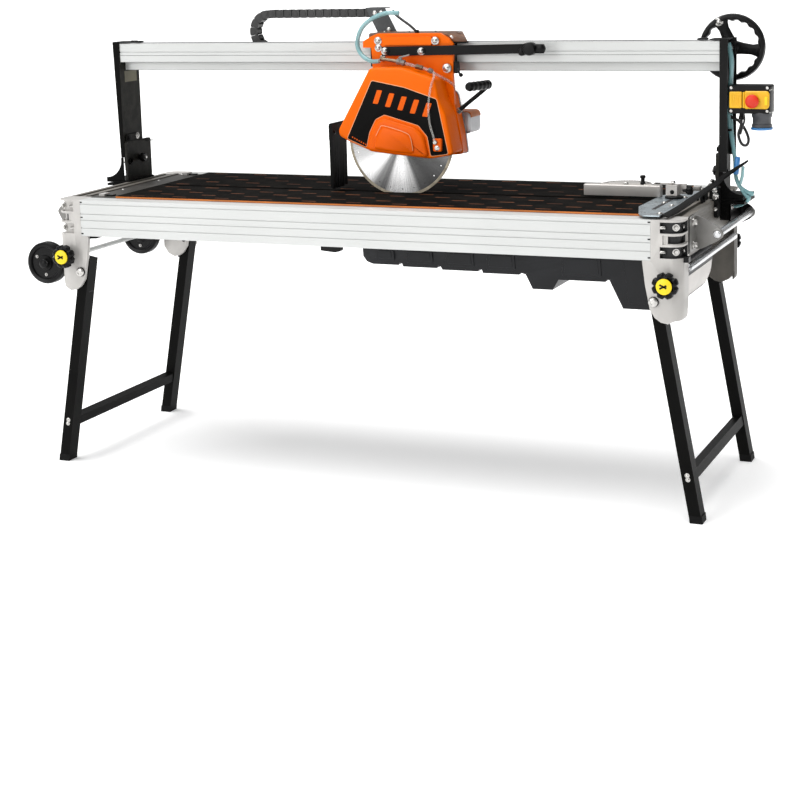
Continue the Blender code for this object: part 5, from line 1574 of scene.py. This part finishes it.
def fence_foot():
    """The fence's sliding foot and its clamping screw."""
    foot = bmesh.new()
    spin_z(foot, (903, 352), [(26, 880.6), (27, 882), (27, 885), (24, 887.5), (18, 888)], 32)
    bolt(foot, (897, 352.2, 898), BACK_Y, 4, 3)
    spin_z(foot, (895, 372), [(7.5, 922.6), (7.5, 926), (5, 929), (0, 929)], 6, 1)
    piece("fence_foot_fittings", foot, "plastic bolt", "fence_foot")
    knob = bmesh.new()
    outline = lobed((386, 899), 12.6, 2.2, 6, 60)
    pillow(knob, "X", outline, [(2, 933), (0, 936), (0, 947), (2, 950), (5, 951)])
    spin(knob, (0, 386, 899), (1, 0, 0), [(4, 921), (4, 930.4), (7, 930.4), (7, 934)], 16)
    piece("fence_clamp_knob", knob, "plastic", "fence_screw", ("fence_knob",), sharp=50)


# ---------------------------------------------------------------- studio

def studio():
    """A pale floor, soft light from above and the left, and a white backdrop."""
    floor_mesh = bpy.data.meshes.new("floor")
    shape = bmesh.new()
    half = 120.0
    corners = rect(-half, half, -half, half)
    shape.faces.new([shape.verts.new((x, y, 0)) for x, y in corners])
    shape.to_mesh(floor_mesh)
    shape.free()
    floor = bpy.data.objects.new("floor", floor_mesh)
    bpy.context.scene.collection.objects.link(floor)
    pale = surface("pale_floor", (0.94, 0.94, 0.94), 0.8, grain=30, bump=0.0, tint=0.0,
                   rough_span=0.02, shine=0.2)
    glow = pale.node_tree.nodes["Principled BSDF"]
    glow.inputs["Emission Color"].default_value = (1, 1, 1, 1)
    glow.inputs["Emission Strength"].default_value = 0.24
    floor_mesh.materials.append(pale)

    world = bpy.data.worlds.new("studio")
    bpy.context.scene.world = world
    world.use_nodes = True
    tree = world.node_tree
    where = add_node(tree, "TexCoord", {}).outputs["Generated"]
    split = add_node(tree, "SeparateXYZ", {"Vector": where}).outputs
    sideways = ranged(tree, split["X"], 0.9, -0.7, 0.10, 0.62)
    overhead = ranged(tree, split["Z"], 0.1, 0.9, 0.0, 0.35)
    total = add_node(tree, "Math", {0: sideways, 1: overhead}).outputs[0]
    white = (1, 1, 1, 1)
    room = tree.nodes["Background"]
    room.inputs["Color"].default_value = white
    tree.links.new(total, room.inputs["Strength"])
    backdrop = add_node(tree, "Background", {"Color": white, "Strength": 1.1})
    seen = add_node(tree, "LightPath", {}).outputs["Is Camera Ray"]
    mix = add_node(tree, "MixShader", {0: seen, 1: room.outputs[0], 2: backdrop.outputs[0]})
    tree.links.new(mix.outputs[0], tree.nodes["World Output"].inputs["Surface"])

    for name, place, power, spread in (("overhead", (-0.25, -0.1, 1.0), 2.7, 48),
                                       ("front", (-0.45, -1.0, 0.32), 0.9, 30)):
        light = bpy.data.lights.new(name, "SUN")
        light.energy = power
        light.angle = math.radians(spread)
        lamp = bpy.data.objects.new(name, light)
        lamp.rotation_mode = "QUATERNION"
        lamp.rotation_quaternion = Vector(place).to_track_quat("Z", "Y")
        bpy.context.scene.collection.objects.link(lamp)


def camera():
    """The photographer's view: from the right of the middle, a little above the beam."""
    yaw, pitch, roll = (math.radians(a) for a in (23.0858, 10.1611, -1.5388))
    forward = Vector((-math.sin(yaw) * math.cos(pitch), math.cos(yaw) * math.cos(pitch),
                      -math.sin(pitch)))
    right = Vector((math.cos(yaw), math.sin(yaw), 0))
    up = right.cross(forward)
    across = right * math.cos(roll) + up * math.sin(roll)
    upward = up * math.cos(roll) - right * math.sin(roll)
    lens = bpy.data.cameras.new("camera")
    lens.sensor_width = 36
    lens.lens = 80.98
    lens.shift_y = -0.1629
    lens.clip_end = 400
    eye = bpy.data.objects.new("camera", lens)
    turned = Matrix((across, upward, -forward)).transposed()
    eye.matrix_world = Matrix.Translation(at(2215.16, -4799.54, 1629.80)) @ turned.to_4x4()
    bpy.context.scene.collection.objects.link(eye)
    bpy.context.scene.camera = eye


# ---------------------------------------------------------------- build

dress_frame()
table_mat()
table_trim()
rail_details()
castings()
leg_details()
leg_knobs()
wheels()
carry_handles()
tank_shell()
tank_ribs()
post_details()
tapered_post()
post_brackets()
hose_clamps()
handwheel()
switch_housing()
switch_cover()
inlet_cap()
switch_cable()
post_hoses()
foot_hoses()
splash_strip()
energy_chain()
guard_shell()
guard_nose()
guard_panel()
spray_port()
guard_outline()
arm_fittings()
saddle()
carriage_fittings()
lever_knobs()
push_handle()
motor()
belt_cover()
feed_hose()
water_fittings()
blade()
brush_flap()
fence_plate()
fence_arm()
fence_foot()
studio()
camera()
bpy.context.scene.view_settings.view_transform = "Standard"
